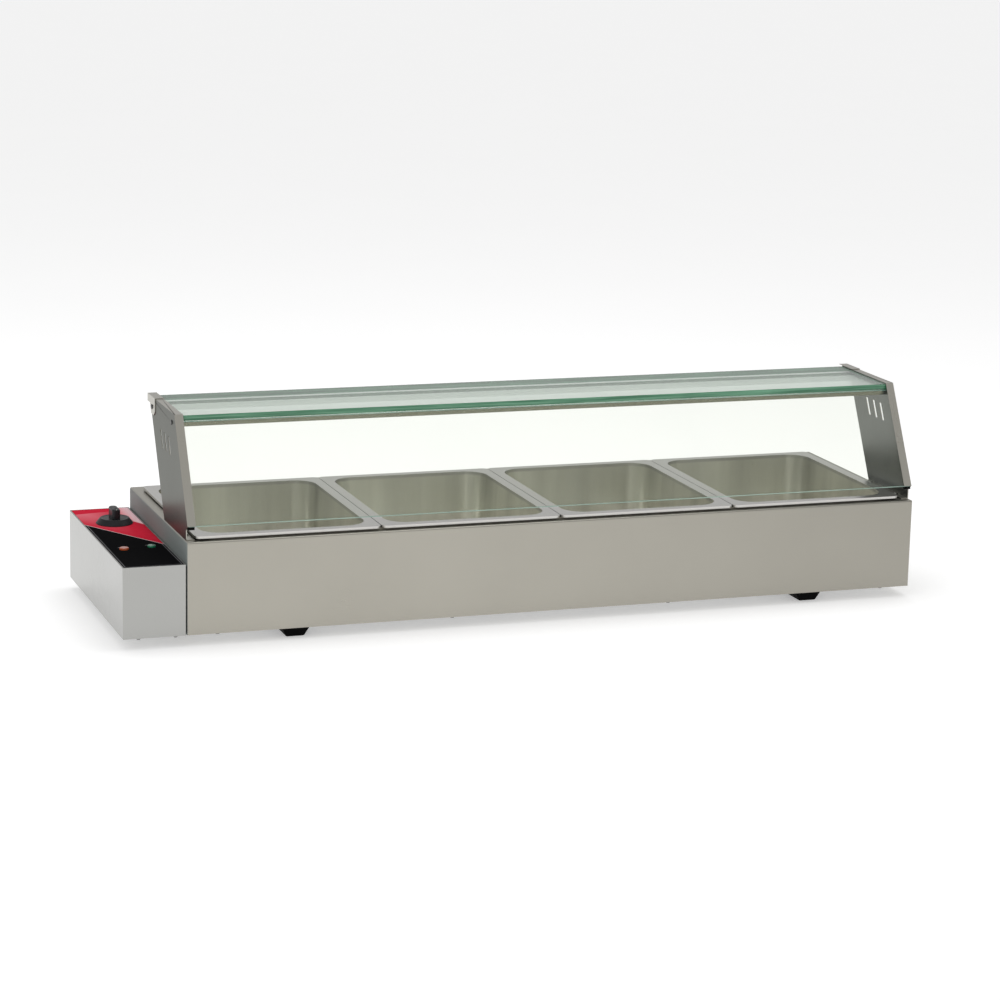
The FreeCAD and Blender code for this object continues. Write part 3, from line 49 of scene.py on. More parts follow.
class Wire:
    """One output of a shader node. Sums written with it become Math nodes."""

    def __init__(self, finish, socket):
        self.finish = finish
        self.socket = socket

    def __add__(self, other):
        return self.finish.math("ADD", self, other)

    def __radd__(self, other):
        return self.finish.math("ADD", other, self)

    def __sub__(self, other):
        return self.finish.math("SUBTRACT", self, other)

    def __rsub__(self, other):
        return self.finish.math("SUBTRACT", other, self)

    def __mul__(self, other):
        return self.finish.math("MULTIPLY", self, other)

    def __rmul__(self, other):
        return self.finish.math("MULTIPLY", other, self)

    def __truediv__(self, other):
        return self.finish.math("DIVIDE", self, other)

    def between(self, low, high):
        """0 below low, 1 above high, and an even rise in between."""
        share = self.finish.math("DIVIDE", self - low, high - low)
        return self.finish.math("MAXIMUM", self.finish.math("MINIMUM", share, 1.0), 0.0)


class Finish:
    """One node material: a Principled shader with its constants, and ways to add nodes before it."""

    def __init__(self, name, **constants):
        self.material = bpy.data.materials.new(name)
        self.material.use_nodes = True
        self.tree = self.material.node_tree
        self.shader = self.tree.nodes["Principled BSDF"]
        self.drive(self.shader, constants)

    def drive(self, node, values):
        """Sets or links inputs of a node. An underscore in a key stands for a space."""
        for key, item in values.items():
            socket = node.inputs[key.replace("_", " ")] if isinstance(key, str) else node.inputs[key]
            if isinstance(item, Wire):
                self.tree.links.new(item.socket, socket)
            elif hasattr(item, "__len__") and len(item) == 3 and socket.type == "RGBA":
                socket.default_value = (*item, 1.0)
            else:
                socket.default_value = item

    def add(self, kind, settings=None, values=None, output=0):
        """Adds a node of any kind, gives it its settings and then its inputs, and returns an output."""
        node = self.tree.nodes.new("ShaderNode" + kind)
        for key, item in (settings or {}).items():
            setattr(node, key, item)
        self.drive(node, values or {})
        return Wire(self, node.outputs[output])

    def math(self, operation, first, second):
        return self.add("Math", {"operation": operation}, {0: first, 1: second})

    def mix(self, share, first, second):
        """A colour that goes from first to second as share goes from 0 to 1."""
        return self.add("Mix", {"data_type": "RGBA"}, {0: share, 6: first, 7: second}, output=2)

    def place(self, scale=(1, 1, 1)):
        """The point on the piece in its own coordinates, stretched by scale."""
        point = self.add("TexCoord", output="Object")
        return self.add("VectorMath", {"operation": "MULTIPLY"}, {0: point, 1: scale})

    def axis(self, name):
        """One coordinate of the point on the piece, in metres."""
        point = self.add("TexCoord", output="Object")
        return self.add("SeparateXYZ", None, {0: point}, output=name)

    def noise(self, scale, stretch=(1, 1, 1), detail=4.0, roughness=0.55):
        """Seeded noise from 0 to 1, drawn out along the axes where stretch is small."""
        return self.add("TexNoise", None, {"Vector": self.place(stretch), "Scale": scale,
                                           "Detail": detail, "Roughness": roughness})

    def bump(self, height, strength, distance):
        return self.add("Bump", None, {"Height": height, "Strength": strength, "Distance": distance})

    def use(self, **values):
        """Sets or links inputs of the Principled shader."""
        self.drive(self.shader, values)
        return self.material


def floor_finish():
    paper = Finish("studio_paper", Roughness=0.9, Specular_IOR_Level=0.2, Emission_Color=(1.0, 1.0, 1.0),
                   Emission_Strength=0.36)
    mottle = paper.noise(3.0)
    return paper.use(Base_Color=paper.mix(mottle, (0.87, 0.87, 0.87), (0.89, 0.89, 0.89)))


bpy.ops.mesh.primitive_plane_add(size=30)
floor = bpy.context.object
floor.name = "studio_floor"
floor.data.materials.append(floor_finish())

world = bpy.data.worlds.new("studio_air")
bpy.context.scene.world = world
world.use_nodes = True
world.node_tree.nodes["Background"].inputs["Color"].default_value = (1.0, 1.0, 1.0, 1.0)
world.node_tree.nodes["Background"].inputs["Strength"].default_value = 0.60


def softbox(name, place, aim, width, height, power):
    light = bpy.data.lights.new(name, "AREA")
    light.shape = "RECTANGLE"
    light.size = width
    light.size_y = height
    light.energy = power
    lamp = bpy.data.objects.new(name, light)
    lamp.location = place
    lamp.rotation_euler = (Vector(aim) - Vector(place)).to_track_quat("-Z", "Y").to_euler()
    bpy.context.scene.collection.objects.link(lamp)


softbox("overhead_softbox", (0.2, 0.3, 2.6), (0, 0, 0.1), 2.4, 1.6, 22)
softbox("front_left_softbox", (-2.6, -2.2, 1.6), (0, 0, 0.15), 1.6, 1.6, 9)

camera_lens = bpy.data.cameras.new("front_camera")
camera_lens.lens = 108.1
camera_lens.sensor_width = 36
camera = bpy.data.objects.new("front_camera", camera_lens)
turn_left = Matrix.Rotation(math.radians(-19.707), 4, "Z")
look_down = Matrix.Rotation(math.radians(90 - 12.810), 4, "X")
roll = Matrix.Rotation(math.radians(1.339), 4, "Z")
camera.matrix_world = Matrix.Translation((-1.43859, -4.04238, 1.11432)) @ turn_left @ look_down @ roll
bpy.context.scene.collection.objects.link(camera)
bpy.context.scene.camera = camera
bpy.context.scene.view_settings.view_transform = "Standard"


# ---- Casing ----------------------------------------------------------------------------------
# Folded shell of satin stainless sheet, closed below by a plain plate. The rolling marks run
# along its length and handling has left faint cloudy smears. The left end is painted dark, dull and
# not metallic as painted shade, and the colour darkens a little towards the right, also painted shade.

def steel(name, colour, rough=0.28, along="X", smear=0.10, glint=(1.0, 1.0, 1.0)):
    """Satin stainless with fine scratches one way and cloudy smears; glint colours its slanting shine."""
    finish = Finish(name, Metallic=1.0, Specular_Tint=glint)
    stretch = {"X": (1, 90, 90), "Y": (90, 1, 90), "Z": (90, 90, 1)}[along]
    scratch = finish.noise(24.0, stretch, detail=8.0, roughness=0.7)
    cloud = finish.noise(5.0, detail=3.0).between(0.3, 0.75)
    dark = [part * (1 - smear) for part in colour]
    pale = [min(1.0, part * (1 + smear)) for part in colour]
    return finish.use(
        Base_Color=finish.mix(0.45 * scratch + 0.55 * cloud, dark, pale),
        Roughness=rough + 0.16 * (scratch - 0.5) + 0.08 * (cloud - 0.5),
        Normal=finish.bump(scratch, 0.3, 0.00003))


def coat(finish, *nodes):
    """Gives carried-over pieces of the part their finish."""
    for name in nodes:
        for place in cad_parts[name].material_slots:
            place.material = finish


def casing_finish(end_x):
    """The satin steel of the casing, with painted shade: its left end is darker, duller and not metallic,
    and the rest darkens a little towards the right.
    """
    finish = Finish("casing_steel", Specular_IOR_Level=0.2)
    scratch = finish.noise(24.0, (1, 90, 90), detail=6.0, roughness=0.6)
    cloud = finish.noise(5.0, detail=3.0).between(0.3, 0.75)
    # Painted shade: the left end face is picked out and painted dark, rough and not metallic.
    painted_shade_end = 1.0 - finish.axis("X").between(end_x + 0.0002, end_x + 0.0008)
    side = finish.mix(0.3 * scratch + 0.7 * cloud, (0.385, 0.368, 0.322), (0.445, 0.426, 0.374))
    # Painted shade: the colour is mixed up to 15% towards black towards the right end.
    side = finish.mix(0.15 * finish.axis("X").between(-0.1, 0.55), side, (0.0, 0.0, 0.0))
    return finish.use(
        Base_Color=finish.mix(painted_shade_end, side, (0.235, 0.262, 0.254)),
        Metallic=1.0 - painted_shade_end,
        Roughness=0.24 + 0.08 * scratch + 0.08 * cloud + 0.3 * painted_shade_end,
        Normal=finish.bump(scratch, 0.2, 0.00002))


coat(casing_finish(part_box("outer_casing")[0].x), "outer_casing")
coat(steel("plain_steel", (0.42, 0.42, 0.41), 0.36), "base_plate", "box_cover", "thermostat_shaft",
     "limit_thermostat", "heater_clamps")
coat(steel("tank_steel", (0.66, 0.66, 0.62), 0.42), "water_tank")


# ---- Pans ------------------------------------------------------------------------------------
# Four half-size catering pans, each pressed from one stainless sheet with a wide flat rim,
# turned down at its edge. The walls lean in a little and meet the floor in a deep round.

def pressed_pan_finish(rim_z):
    pressed = Finish("pan_steel", Metallic=1.0)
    streak = pressed.noise(16.0, (1.3, 1.3, 0.10), detail=3.0).between(0.32, 0.68)
    grain = pressed.noise(30.0, (60, 60, 2), detail=6.0, roughness=0.6)
    scuff = pressed.noise(260.0, (1, 1, 0.4), detail=2.0).between(0.62, 0.72)
    rim = pressed.axis("Z").between(rim_z - 0.006, rim_z - 0.003)
    # Painted light: the walls get a far paler colour than the rim, lifting the shaded inside of the pans.
    painted_light_wall = pressed.mix(0.8 * streak + 0.2 * grain, (0.68, 0.67, 0.615), (0.97, 0.96, 0.89))
    return pressed.use(
        Base_Color=pressed.mix(rim, painted_light_wall, pressed.mix(grain, (0.60, 0.59, 0.565), (0.65, 0.64, 0.615))),
        Roughness=0.24 + 0.10 * grain + 0.08 * scuff,
        Normal=pressed.bump((0.7 * streak + 0.3 * grain) * (1.0 - 0.8 * rim), 0.2, 0.00012))


coat(pressed_pan_finish(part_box("pan_1")[1].z), "pan_1", "pan_2", "pan_3", "pan_4")


# ---- Control box -----------------------------------------------------------------------------
# Folded stainless box bolted to the casing's left end, open above and below. Its corners are
# closed seams, ground flush, and a black gasket fills the narrow gap to the casing.

def start(name, primitive, **options):
    """Begins a piece from one of Blender's primitives, with its place in the mesh, open for editing."""
    if bpy.context.mode != "OBJECT":
        bpy.ops.object.mode_set(mode="OBJECT")
    bpy.ops.object.select_all(action="DESELECT")
    primitive(**options)
    piece = bpy.context.object
    piece.name = name
    piece.data.name = name
    bpy.ops.object.transform_apply(location=True, rotation=True, scale=True)
    bpy.ops.object.mode_set(mode="EDIT")
    bpy.ops.mesh.select_mode(type="VERT")
    bpy.ops.mesh.select_all(action="SELECT")
    return piece


def pick(kind, wanted):
    """Selects only the corners, edges or faces that wanted accepts, by middle and by run or normal."""
    bpy.ops.mesh.select_all(action="DESELECT")
    bpy.ops.mesh.select_mode(type=kind)
    mesh = bmesh.from_edit_mesh(bpy.context.object.data)
    mesh.normal_update()
    if kind == "VERT":
        for corner in mesh.verts:
            corner.select = wanted(corner.co)
    elif kind == "EDGE":
        for edge in mesh.edges:
            first, last = edge.verts
            edge.select = wanted((first.co + last.co) / 2, last.co - first.co)
    else:
        for face in mesh.faces:
            face.select = wanted(face.calc_center_median(), face.normal)
    mesh.select_flush_mode()
    bmesh.update_edit_mesh(bpy.context.object.data)


def modify(piece, kind, **settings):
    """Adds a modifier with its settings and applies it."""
    bpy.ops.object.mode_set(mode="OBJECT")
    change = piece.modifiers.new(kind.lower(), kind)
    for key, item in settings.items():
        setattr(change, key, item)
    bpy.ops.object.modifier_apply(modifier=change.name)


def close(piece, body, nodes, finish, sharp=35):
    """Ends a piece: normals outward, smooth shading but for its corners, its finish, and what it is."""
    bpy.ops.object.mode_set(mode="EDIT")
    bpy.ops.mesh.select_all(action="SELECT")
    bpy.ops.mesh.normals_make_consistent(inside=False)
    bpy.ops.object.mode_set(mode="OBJECT")
    bpy.ops.object.shade_smooth_by_angle(angle=math.radians(sharp))
    modify(piece, "WEIGHTED_NORMAL", keep_sharp=True)
    piece.data.materials.append(finish)
    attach(piece, body)
    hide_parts(*nodes)


def block(name, low, high):
    """Begins a piece as a cube stretched between two corners."""
    low, high = Vector(low), Vector(high)
    return start(name, bpy.ops.mesh.primitive_cube_add, size=1, location=(low + high) / 2, scale=high - low)


def carve(piece, *tools):
    """Cuts other pieces out of this one and removes them."""
    for tool in tools:
        bpy.ops.object.mode_set(mode="OBJECT")
        bpy.ops.object.select_all(action="DESELECT")
        bpy.context.view_layer.objects.active = piece
        modify(piece, "BOOLEAN", object=tool, operation="DIFFERENCE", solver="EXACT")
        bpy.data.objects.remove(tool)


def upright(middle, run):
    return abs(run.z) > 0.9 * run.length


box_steel = steel("box_steel", (0.415, 0.415, 0.40), 0.26, along="Z", smear=0.06)
box_low, box_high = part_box("control_box")
box_wall = block("control_box_shell", box_low, box_high)
pick("EDGE", upright)
bpy.ops.mesh.bevel(offset=0.0015, segments=4, affect="EDGES")
pick("FACE", lambda middle, normal: abs(normal.z) > 0.9)
bpy.ops.mesh.delete(type="ONLY_FACE")
bpy.ops.mesh.select_all(action="SELECT")
bpy.ops.mesh.normals_make_consistent(inside=False)
modify(box_wall, "SOLIDIFY", thickness=0.001, offset=-1)
socket_low, socket_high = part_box("inlet_socket")
mouth = 0.0145
socket_middle = (socket_low + socket_high) / 2
carve(box_wall, block("socket_cut", (socket_middle.x - mouth, box_high.y - 0.01, socket_middle.z - 0.0105),
                      (socket_middle.x + mouth, box_high.y + 0.01, socket_middle.z + 0.0105)))
bpy.ops.object.mode_set(mode="EDIT")
pick("EDGE", lambda middle, run: middle.z > box_high.z - 0.0001 and abs(run.z) < 0.00001)
bpy.ops.mesh.bevel(offset=0.0003, segments=2, affect="EDGES")
close(box_wall, "base", ["control_box"], box_steel)
coat(box_steel, "control_panel")


# ---- Feet ------------------------------------------------------------------------------------
# Four moulded black rubber blocks, bolted under the base plate. Each tapers to a smaller sole
# with a round recess that hides its bolt.

def rubber_finish(name, colour, rough, shine=0.25):
    rubber = Finish(name, Specular_IOR_Level=shine)
    grain = rubber.noise(900.0, detail=3.0)
    dust = rubber.noise(40.0, detail=3.0).between(0.45, 0.8)
    pale = tuple(1.5 * part + 0.002 for part in colour)
    return rubber.use(Base_Color=rubber.mix(dust, colour, pale), Roughness=rough + 0.15 * dust,
                      Normal=rubber.bump(grain, 0.3, 0.00006))


black_rubber = rubber_finish("black_rubber", (0.0015, 0.0015, 0.0015), 0.6, shine=0.05)
coat(black_rubber, "box_gasket", "probe_grommet")
for corner in ("front_left", "front_right", "rear_left", "rear_right"):
    foot_low, foot_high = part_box(f"foot_{corner}")
    sole = Vector(((foot_low.x + foot_high.x) / 2, (foot_low.y + foot_high.y) / 2, foot_low.z))
    foot = block(f"foot_{corner}_block", foot_low, foot_high)
    pick("FACE", lambda middle, normal: normal.z < -0.9)
    bpy.ops.transform.resize(value=(26 / 43, 60 / 68, 1), center_override=sole)
    bpy.ops.mesh.inset(thickness=0.0001)
    bpy.ops.mesh.select_all(action="SELECT")
    bpy.ops.mesh.remove_doubles(threshold=0.0002)
    pick("EDGE", lambda middle, run: middle.z < foot_high.z - 0.0001)
    bpy.ops.mesh.bevel(offset=0.0018, segments=4, affect="EDGES")
    bore = start("foot_bore", bpy.ops.mesh.primitive_cylinder_add, vertices=40, radius=0.007, depth=0.018,
                 location=sole)
    carve(foot, bore)
    close(foot, "base", [f"foot_{corner}"], black_rubber)


# ---- Control panel ---------------------------------------------------------------------------
# Printed polyester film stuck to the panel: red at the back, black at the front, a thin pale
# line between, and a fine line inside the black field. The captions are left as plain dashes.
# Two pale pink patches on the red are painted reflections, not print.

def print_and_painted_sheen_finish(low, high, lamps):
    film = Finish("printed_film", Specular_IOR_Level=0.0)
    across = film.axis("X")
    along = film.axis("Y")
    share = (across - low.x) / (high.x - low.x)
    border = along + 0.139 * share - 0.08125
    red = film.mix(film.noise(220.0).between(0.3, 0.8), (0.60, 0.020, 0.045), (0.65, 0.030, 0.060))
    # Painted reflection: two pale pink patches on the red field stand in for reflected light.
    reflection_facet = (high.y - 0.028 + 0.014 * share - along).between(-0.0002, 0.0002)
    left_painted_reflection = reflection_facet * (1.0 - share.between(0.0, 0.75)) * (border / 0.1).between(0.0, 0.9)
    right_painted_reflection = ((share - 0.86) * 0.16 + along - 0.085).between(0.0, 0.006) * share.between(0.68, 0.95)
    red = film.mix(0.5 * left_painted_reflection, red, (0.90, 0.40, 0.46))
    red = film.mix(0.95 * right_painted_reflection, red, (0.95, 0.66, 0.70))
    black = film.mix(film.noise(220.0).between(0.3, 0.8), (0.0075, 0.0075, 0.008), (0.010, 0.010, 0.0105))
    colour = film.mix(border.between(-0.0003, 0.0003), black, red)
    seam = 1.0 - film.math("ABSOLUTE", border, 0.0).between(0.0007, 0.0012)
    colour = film.mix(seam, colour, (0.85, 0.78, 0.78))
    from_edge = film.math("MINIMUM", film.math("MINIMUM", across - low.x, high.x - across), along - low.y)
    fine = 1.0 - film.math("ABSOLUTE", from_edge - 0.0022, 0.0).between(0.0002, 0.0005)
    colour = film.mix(0.9 * fine * (1.0 - border.between(-0.0003, 0.0003)), colour, (0.30, 0.30, 0.31))
    for lamp in lamps:
        beside = 1.0 - film.math("ABSOLUTE", across - lamp.x, 0.0).between(0.0060, 0.0064)
        behind = 1.0 - film.math("ABSOLUTE", along - (lamp.y + 0.0115), 0.0).between(0.0007, 0.0010)
        broken = film.math("PINGPONG", across, 0.0009).between(0.00025, 0.00035)
        colour = film.mix(0.6 * beside * behind * broken, colour, (0.55, 0.55, 0.55))
    return film.use(Base_Color=colour, Roughness=0.30 + 0.06 * film.noise(300.0),
                    Normal=film.bump(film.noise(700.0, detail=2.0), 0.12, 0.00002))


film_low, film_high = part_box("panel_overlay")
lamp_spots = [sum(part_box(f"{colour}_lamp_lens"), Vector()) / 2 for colour in ("green", "orange")]
coat(print_and_painted_sheen_finish(film_low, film_high, lamp_spots), "panel_overlay")


# ---- Knob ------------------------------------------------------------------------------------
# Black moulded thermostat knob: a flared skirt with a slightly hollow side, and a rounded bar
# grip across its top with a pale pointer let into one end.

black_plastic = rubber_finish("black_plastic", (0.012, 0.0125, 0.015), 0.34)
white_plastic = rubber_finish("white_plastic", (0.62, 0.62, 0.58), 0.45)
knob_low, knob_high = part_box("control_knob")
hub = (knob_low + knob_high) / 2
skirt_height = 0.008
skirt_radius = 0.027
shoulder = 0.0205
grip_size = Vector((0.012, 0.031, 0.018))
knob = start("knob_moulding", bpy.ops.mesh.primitive_cylinder_add, vertices=96, radius=skirt_radius,
             depth=skirt_height, location=(hub.x, hub.y, knob_low.z + skirt_height / 2))
pick("FACE", lambda middle, normal: normal.z > 0.9)
bpy.ops.transform.resize(value=(shoulder / skirt_radius, shoulder / skirt_radius, 1),
                         center_override=(hub.x, hub.y, knob_low.z + skirt_height))
bpy.ops.mesh.inset(thickness=0.0035)
bpy.ops.transform.translate(value=(0, 0, -0.0008))
pick("EDGE", lambda middle, run: abs(run.z) < 0.00001 and (middle - hub).xy.length > 0.012)
bpy.ops.mesh.bevel(offset=0.0008, segments=3, affect="EDGES")
bpy.ops.mesh.select_all(action="DESELECT")
bpy.ops.mesh.primitive_cube_add(size=1)
bpy.ops.transform.resize(value=grip_size, center_override=(0, 0, 0))
bpy.ops.transform.translate(value=(hub.x, hub.y, knob_high.z - grip_size.z / 2))
pick("EDGE", lambda middle, run: upright(middle, run) and run.length > 0.016)
bpy.ops.mesh.bevel(offset=0.0052, segments=10, affect="EDGES")
pick("EDGE", lambda middle, run: middle.z > knob_high.z - 0.0001)
bpy.ops.mesh.bevel(offset=0.0022, segments=6, affect="EDGES")
close(knob, "knob", ["control_knob"], black_plastic, sharp=40)
coat(white_plastic, "knob_pointer", "green_lamp_housing", "orange_lamp_housing", "terminal_block")


# ---- Lamps -----------------------------------------------------------------------------------
# Two neon indicators with shallow domed lenses of coloured plastic, pushed up through the
# panel: green for power at the right, orange for heating at the left.

def lens_finish(name, deep, pale):
    lens = Finish(name, Roughness=0.12, Coat_Weight=0.5, IOR=1.49)
    facing = lens.add("LayerWeight", None, {"Blend": 0.35}, output="Facing")
    ribs = lens.noise(500.0, detail=2.0)
    colour = lens.mix(facing, pale, deep)
    return lens.use(Base_Color=colour, Emission_Color=colour, Emission_Strength=0.02,
                    Normal=lens.bump(ribs, 0.3, 0.0001))


for label, deep, pale in (("green_lamp_lens", (0.004, 0.08, 0.04), (0.02, 0.22, 0.11)),
                          ("orange_lamp_lens", (0.30, 0.04, 0.01), (0.50, 0.10, 0.03))):
    lens_low, lens_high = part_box(label)
    middle = (lens_low + lens_high) / 2
    dome = start(f"{label}_dome", bpy.ops.mesh.primitive_cylinder_add, vertices=48,
                 radius=(lens_high.x - lens_low.x) / 2, depth=lens_high.z - lens_low.z, location=middle)
    pick("EDGE", lambda middle, run: middle.z > lens_high.z - 0.0001)
    bpy.ops.mesh.bevel(offset=0.0015, segments=6, affect="EDGES")
    close(dome, "base", [label], lens_finish(label, deep, pale), sharp=50)


# ---- Guard brackets --------------------------------------------------------------------------
# Two stainless plates, laser-cut with three slanted slots and folded inwards along the foot,
# the front and the top. The front fold leans back and steps down to a short upright toe.

def outline(name, corners):
    """Begins a piece as a flat sheet with these corners."""
    piece = start(name, bpy.ops.mesh.primitive_plane_add, size=1)
    bpy.ops.mesh.merge(type="CENTER")
    bpy.ops.transform.translate(value=corners[0])
    for here, there in zip(corners, corners[1:]):
        bpy.ops.mesh.extrude_vertices_move(TRANSFORM_OT_translate={"value": Vector(there) - Vector(here)})
    bpy.ops.mesh.select_all(action="SELECT")
    bpy.ops.mesh.edge_face_add()
    return piece


def slab(name, corners, along):
    """Begins a piece as a flat sheet drawn out by a step."""
    piece = outline(name, corners)
    bpy.ops.mesh.extrude_region_move(TRANSFORM_OT_translate={"value": along})
    bpy.ops.mesh.select_all(action="SELECT")
    bpy.ops.mesh.normals_make_consistent(inside=False)
    return piece


def join(piece, *others):
    """Welds other pieces into this one."""
    for other in others:
        bpy.ops.object.mode_set(mode="OBJECT")
        bpy.context.view_layer.objects.active = piece
        modify(piece, "BOOLEAN", object=other, operation="UNION", solver="EXACT")
        bpy.data.objects.remove(other)


# Two copies of one steel: a dark one, painted shade on the plates' sides, and a far paler one, painted light
# on the folds and the clips.
bracket_steel = steel("bracket_steel", (0.20, 0.205, 0.195), 0.30, along="Z", smear=0.08,
                      glint=(0.60, 0.60, 0.58))
painted_light_fold_steel = steel("bracket_painted_light_fold_steel", (0.46, 0.445, 0.395), 0.30, along="Z", smear=0.05)
slope = 0.544
lean = math.sqrt(1 + slope * slope)
plate = 0.0012
flange = 0.012
casing_top = 0.146
foot_reach_mm = 137.5
guard_height_mm = 161.5
slot_low = 0.100
slot_rise = 0.0245
slot_half = 0.00325
for side, inward in (("left", 1), ("right", -1)):
    low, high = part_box(f"bracket_{side}")
    face_x = low.x if inward > 0 else high.x
    nose_y = low.y
    nose_z = casing_top + 0.021
    top_z = high.z
    rear_top = nose_y + (foot_reach_mm + slope * guard_height_mm) / 1000
    foot_back = nose_y + foot_reach_mm / 1000
    riser = nose_y + 0.0085
    front_top = nose_y + slope * (top_z - nose_z)
    profile = [(riser, casing_top), (foot_back, casing_top), (rear_top, top_z), (front_top, top_z),
               (nose_y, nose_z), (riser, casing_top + 0.015)]
    sheet_side = slab(f"bracket_{side}_folded", [(face_x, y, z) for y, z in profile],
                      (inward * plate, 0, 0))
    thick = plate * lean
    inner = top_z - plate
    fold = [(nose_y, nose_z), (nose_y + thick, nose_z), (nose_y + slope * (inner - nose_z) + thick, inner),
            (rear_top - slope * plate, inner), (rear_top, top_z), (front_top, top_z)]
    bend = slab("fold", [(face_x, y, z) for y, z in fold], (inward * flange, 0, 0))
    tread = block("tread", (min(face_x, face_x + inward * flange), riser, casing_top),
                  (max(face_x, face_x + inward * flange), foot_back, casing_top + plate))
    join(sheet_side, bend, tread)
    cutters = []
    for number in range(3):
        slot_y = (100 + number * 22.5) / 1000 + nose_y
        outside_x = face_x - inward * 0.001
        bottom = casing_top + slot_low
        top = casing_top + (slot_low + slot_rise)
        run = slope * slot_rise
        slant = [(slot_y - slot_half, bottom), (slot_y + slot_half, bottom),
                 (slot_y + slot_half + run, top), (slot_y - slot_half + run, top)]
        cutters.append(slab(f"slot_{number}", [(outside_x, y, z) for y, z in slant],
                            (inward * 0.0035, 0, 0)))
    carve(sheet_side, *cutters)
    modify(sheet_side, "BEVEL", width=0.0005, segments=2, limit_method="ANGLE", angle_limit=math.radians(40))
    close(sheet_side, "base", [f"bracket_{side}"], bracket_steel)
    # Painted shade on the side faces and painted light on the folds, chosen by the way each face points.
    sheet_side.data.materials.append(painted_light_fold_steel)
    for face in sheet_side.data.polygons:
        face.material_index = 0 if abs(face.normal.x) > 0.9 else 1


# ---- Clips -----------------------------------------------------------------------------------
# Bent stainless caps over the brackets' rear top corners. Each has a cheek that hangs outside
# the bracket and is held by the rear rail's screw.

for side, inward in (("left", 1), ("right", -1)):
    low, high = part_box(f"clip_{side}")
    outer = low.x if inward > 0 else high.x
    clip_top = high.z
    guard_top = clip_top - 0.001
    rear_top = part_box(f"bracket_{side}")[0].y + (foot_reach_mm + slope * guard_height_mm) / 1000
    cheek = [(low.y, clip_top), (low.y, low.z + 0.006), (low.y + 0.006, low.z),
             (rear_top - slope * 0.024, low.z), (rear_top - slope * 0.010, guard_top - 0.010),
             (high.y, guard_top - 0.010), (high.y, clip_top)]
    clip = slab(f"clip_{side}_cap", [(outer, y, z) for y, z in cheek], (inward * 0.001, 0, 0))
    cap = block("cap", (min(outer, outer + inward * 0.013), low.y, guard_top),
                (max(outer, outer + inward * 0.013), high.y, clip_top))
    join(clip, cap)
    modify(clip, "BEVEL", width=0.0003, segments=2, limit_method="ANGLE", angle_limit=math.radians(40))
    # Painted light: the clip takes the pale copy of the bracket steel.
    close(clip, "base", [f"clip_{side}"], painted_light_fold_steel)


# ---- Rails -----------------------------------------------------------------------------------
# Two shallow stainless channels, open below, screwed between the brackets. They carry the
# glass shelf.

def rail_finish(top_z):
    """Satin channel steel with a browner grain; its rolled top is painted far paler than its sides, painted
    light on the face that looks up.
    """
    rail = Finish("rail_steel", Metallic=1.0)
    grain = rail.noise(24.0, (1, 90, 90), detail=6.0, roughness=0.6)
    # Painted light: the top strip is mixed towards a pale colour.
    top = rail.axis("Z").between(top_z - 0.0016, top_z - 0.0008)
    colour = rail.mix(top, rail.mix(grain, (0.25, 0.245, 0.19), (0.29, 0.285, 0.225)), (0.80, 0.80, 0.77))
    return rail.use(Base_Color=colour, Roughness=0.20 + 0.12 * grain, Normal=rail.bump(grain, 0.2, 0.00003))


rail_steel = rail_finish(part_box("front_rail")[1].z)
for label in ("front_rail", "rear_rail"):
    low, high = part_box(label)
    rail = block(f"{label}_channel", low, high)
    pick("EDGE", lambda middle, run: abs(run.x) > 0.9 * run.length and middle.z > high.z - 0.001)
    bpy.ops.mesh.bevel(offset=0.0016, segments=5, affect="EDGES")
    pick("FACE", lambda middle, normal: normal.z < -0.9)
    bpy.ops.mesh.delete(type="ONLY_FACE")
    bpy.ops.mesh.select_all(action="SELECT")
    bpy.ops.mesh.normals_make_consistent(inside=False)
    modify(rail, "SOLIDIFY", thickness=0.0012, offset=-1)
    close(rail, "base", [label], rail_steel)


# ---- Glass -----------------------------------------------------------------------------------
# A thick clear shelf lies on the rails and a thinner pane leans behind the front folds. Both
# are toughened float glass with ground edges, which look green from the side.

def pane_finish(name, tint, haze):
    """Clear glass seen through its faces: it passes tinted light and mirrors more at a slant."""
    pane = Finish(name, Base_Color=(0.9, 0.95, 0.92), IOR=1.5, Specular_IOR_Level=0.8)
    smear = pane.noise(7.0, detail=3.0).between(0.45, 0.8)
    veil = pane.add("LayerWeight", None, {"Blend": 0.22}, output="Fresnel")
    clear = pane.add("BsdfTransparent", None, {"Color": tint})
    pane.use(Roughness=0.03 + 0.06 * smear)
    mixed = pane.add("MixShader", None, {0: haze + 0.75 * veil + 0.02 * smear, 1: clear})
    pane.tree.links.new(pane.shader.outputs[0], mixed.socket.node.inputs[2])
    pane.tree.links.new(mixed.socket, pane.tree.nodes["Material Output"].inputs["Surface"])
    return pane.material


def edge_finish(name, deep, pale):
    """Ground glass edge: deep green, with paler runs where light comes through."""
    edge = Finish(name, IOR=1.5, Coat_Weight=0.3)
    runs = edge.noise(9.0, (1, 3, 30), detail=3.0).between(0.35, 0.7)
    return edge.use(Base_Color=edge.mix(runs, deep, pale), Roughness=0.22 + 0.1 * runs,
                    Normal=edge.bump(edge.noise(400.0), 0.15, 0.00005))


def glaze(pane, faces, edges, is_face, node):
    """Ends a pane: clear finish on its two faces and the edge finish all round."""
    bpy.ops.object.mode_set(mode="OBJECT")
    pane.data.materials.append(faces)
    pane.data.materials.append(edges)
    for side in pane.data.polygons:
        side.material_index = 0 if is_face(side.normal) else 1
    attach(pane, "base")
    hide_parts(node)


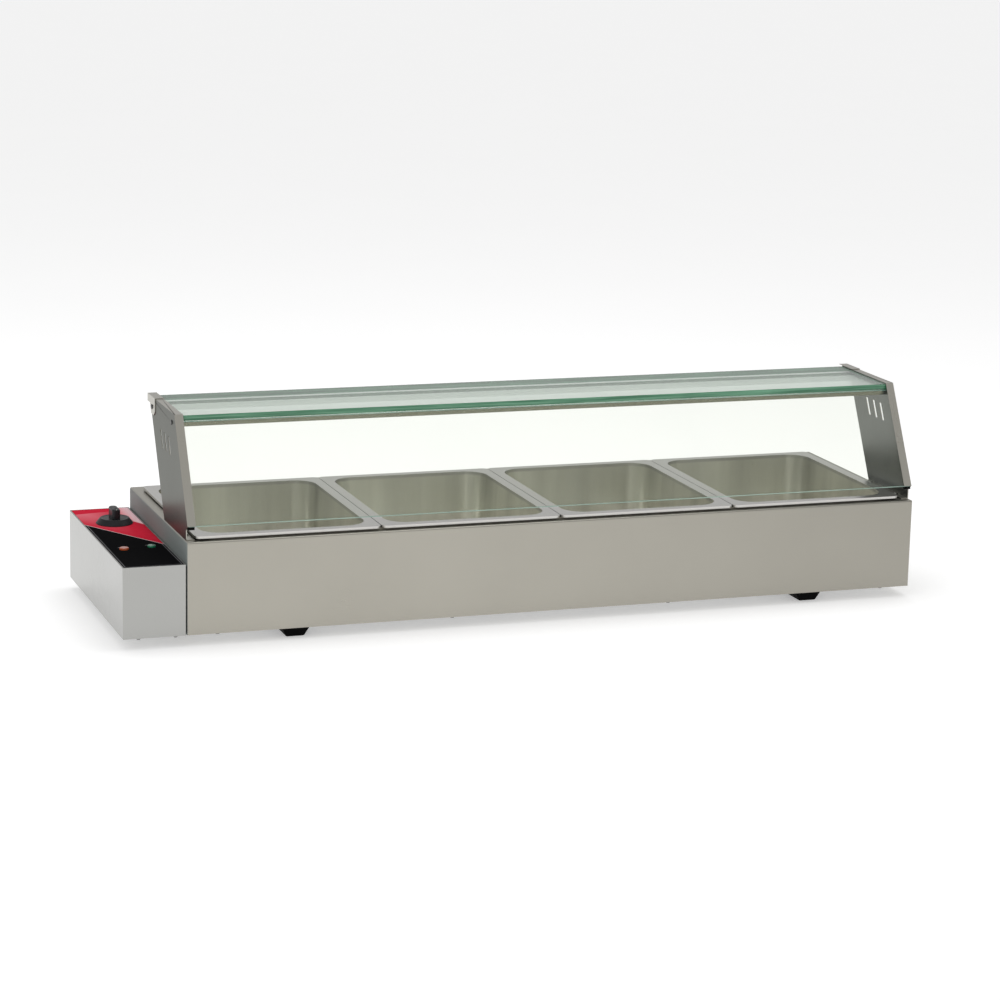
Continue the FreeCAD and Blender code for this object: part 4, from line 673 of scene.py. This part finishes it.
shelf_low, shelf_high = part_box("top_glass")
shelf = block("shelf_pane", shelf_low, shelf_high)
bpy.ops.mesh.bevel(offset=0.0006, segments=2, affect="EDGES")
glaze(shelf, pane_finish("shelf_glass", (0.925, 0.955, 0.925), 0.075),
      edge_finish("shelf_glass_edge", (0.03, 0.16, 0.075), (0.14, 0.36, 0.22)),
      lambda normal: abs(normal.z) > 0.9, "top_glass")

pane_low, pane_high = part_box("front_glass")
pane_run = 0.005 * lean
section = [(pane_low.y, pane_low.z), (pane_low.y + pane_run, pane_low.z),
           (pane_high.y, pane_high.z), (pane_high.y - pane_run, pane_high.z)]
front_pane = slab("sloping_pane", [(pane_low.x, y, z) for y, z in section],
                  (pane_high.x - pane_low.x, 0, 0))
bpy.ops.mesh.bevel(offset=0.0005, segments=2, affect="EDGES")
glaze(front_pane, pane_finish("front_pane_glass", (0.955, 0.965, 0.94), 0.015),
      edge_finish("front_pane_edge", (0.26, 0.45, 0.38), (0.55, 0.74, 0.66)),
      lambda normal: abs(normal.z) > 0.3 and abs(normal.y) > 0.6, "front_glass")
coat(black_rubber, "glass_seats")


# ---- Screws and small fittings ---------------------------------------------------------------
# Zinc-plated screws hold the guard, the cover and the inlet; brass terminals and nuts sit
# inside with the heaters, the thermostat and its copper bulb.

screw_steel = steel("screw_steel", (0.30, 0.30, 0.29), 0.16, smear=0.05)
coat(screw_steel, "base_screws", "box_bolts", "box_nuts", "bracket_screws", "clamp_nuts", "clamp_studs",
     "cover_screws", "foot_bolts", "foot_nuts", "inlet_screws", "thermostat_screws")
coat(steel("dark_screw_steel", (0.07, 0.07, 0.068), 0.34, smear=0.05), "rail_screws")
coat(steel("brass", (0.62, 0.46, 0.20), 0.28), "earth_nut", "earth_stud", "heater_nuts", "inlet_pins",
     "terminal_screws")
coat(steel("copper", (0.62, 0.30, 0.17), 0.30), "thermostat_probe")
coat(steel("heater_steel", (0.16, 0.15, 0.14), 0.42), "heater_front", "heater_rear")
coat(rubber_finish("thermostat_plastic", (0.10, 0.10, 0.11), 0.4), "thermostat_body")
coat(rubber_finish("mineral_board", (0.50, 0.44, 0.30), 0.9), "insulation_board")
coat(black_plastic, "inlet_socket")
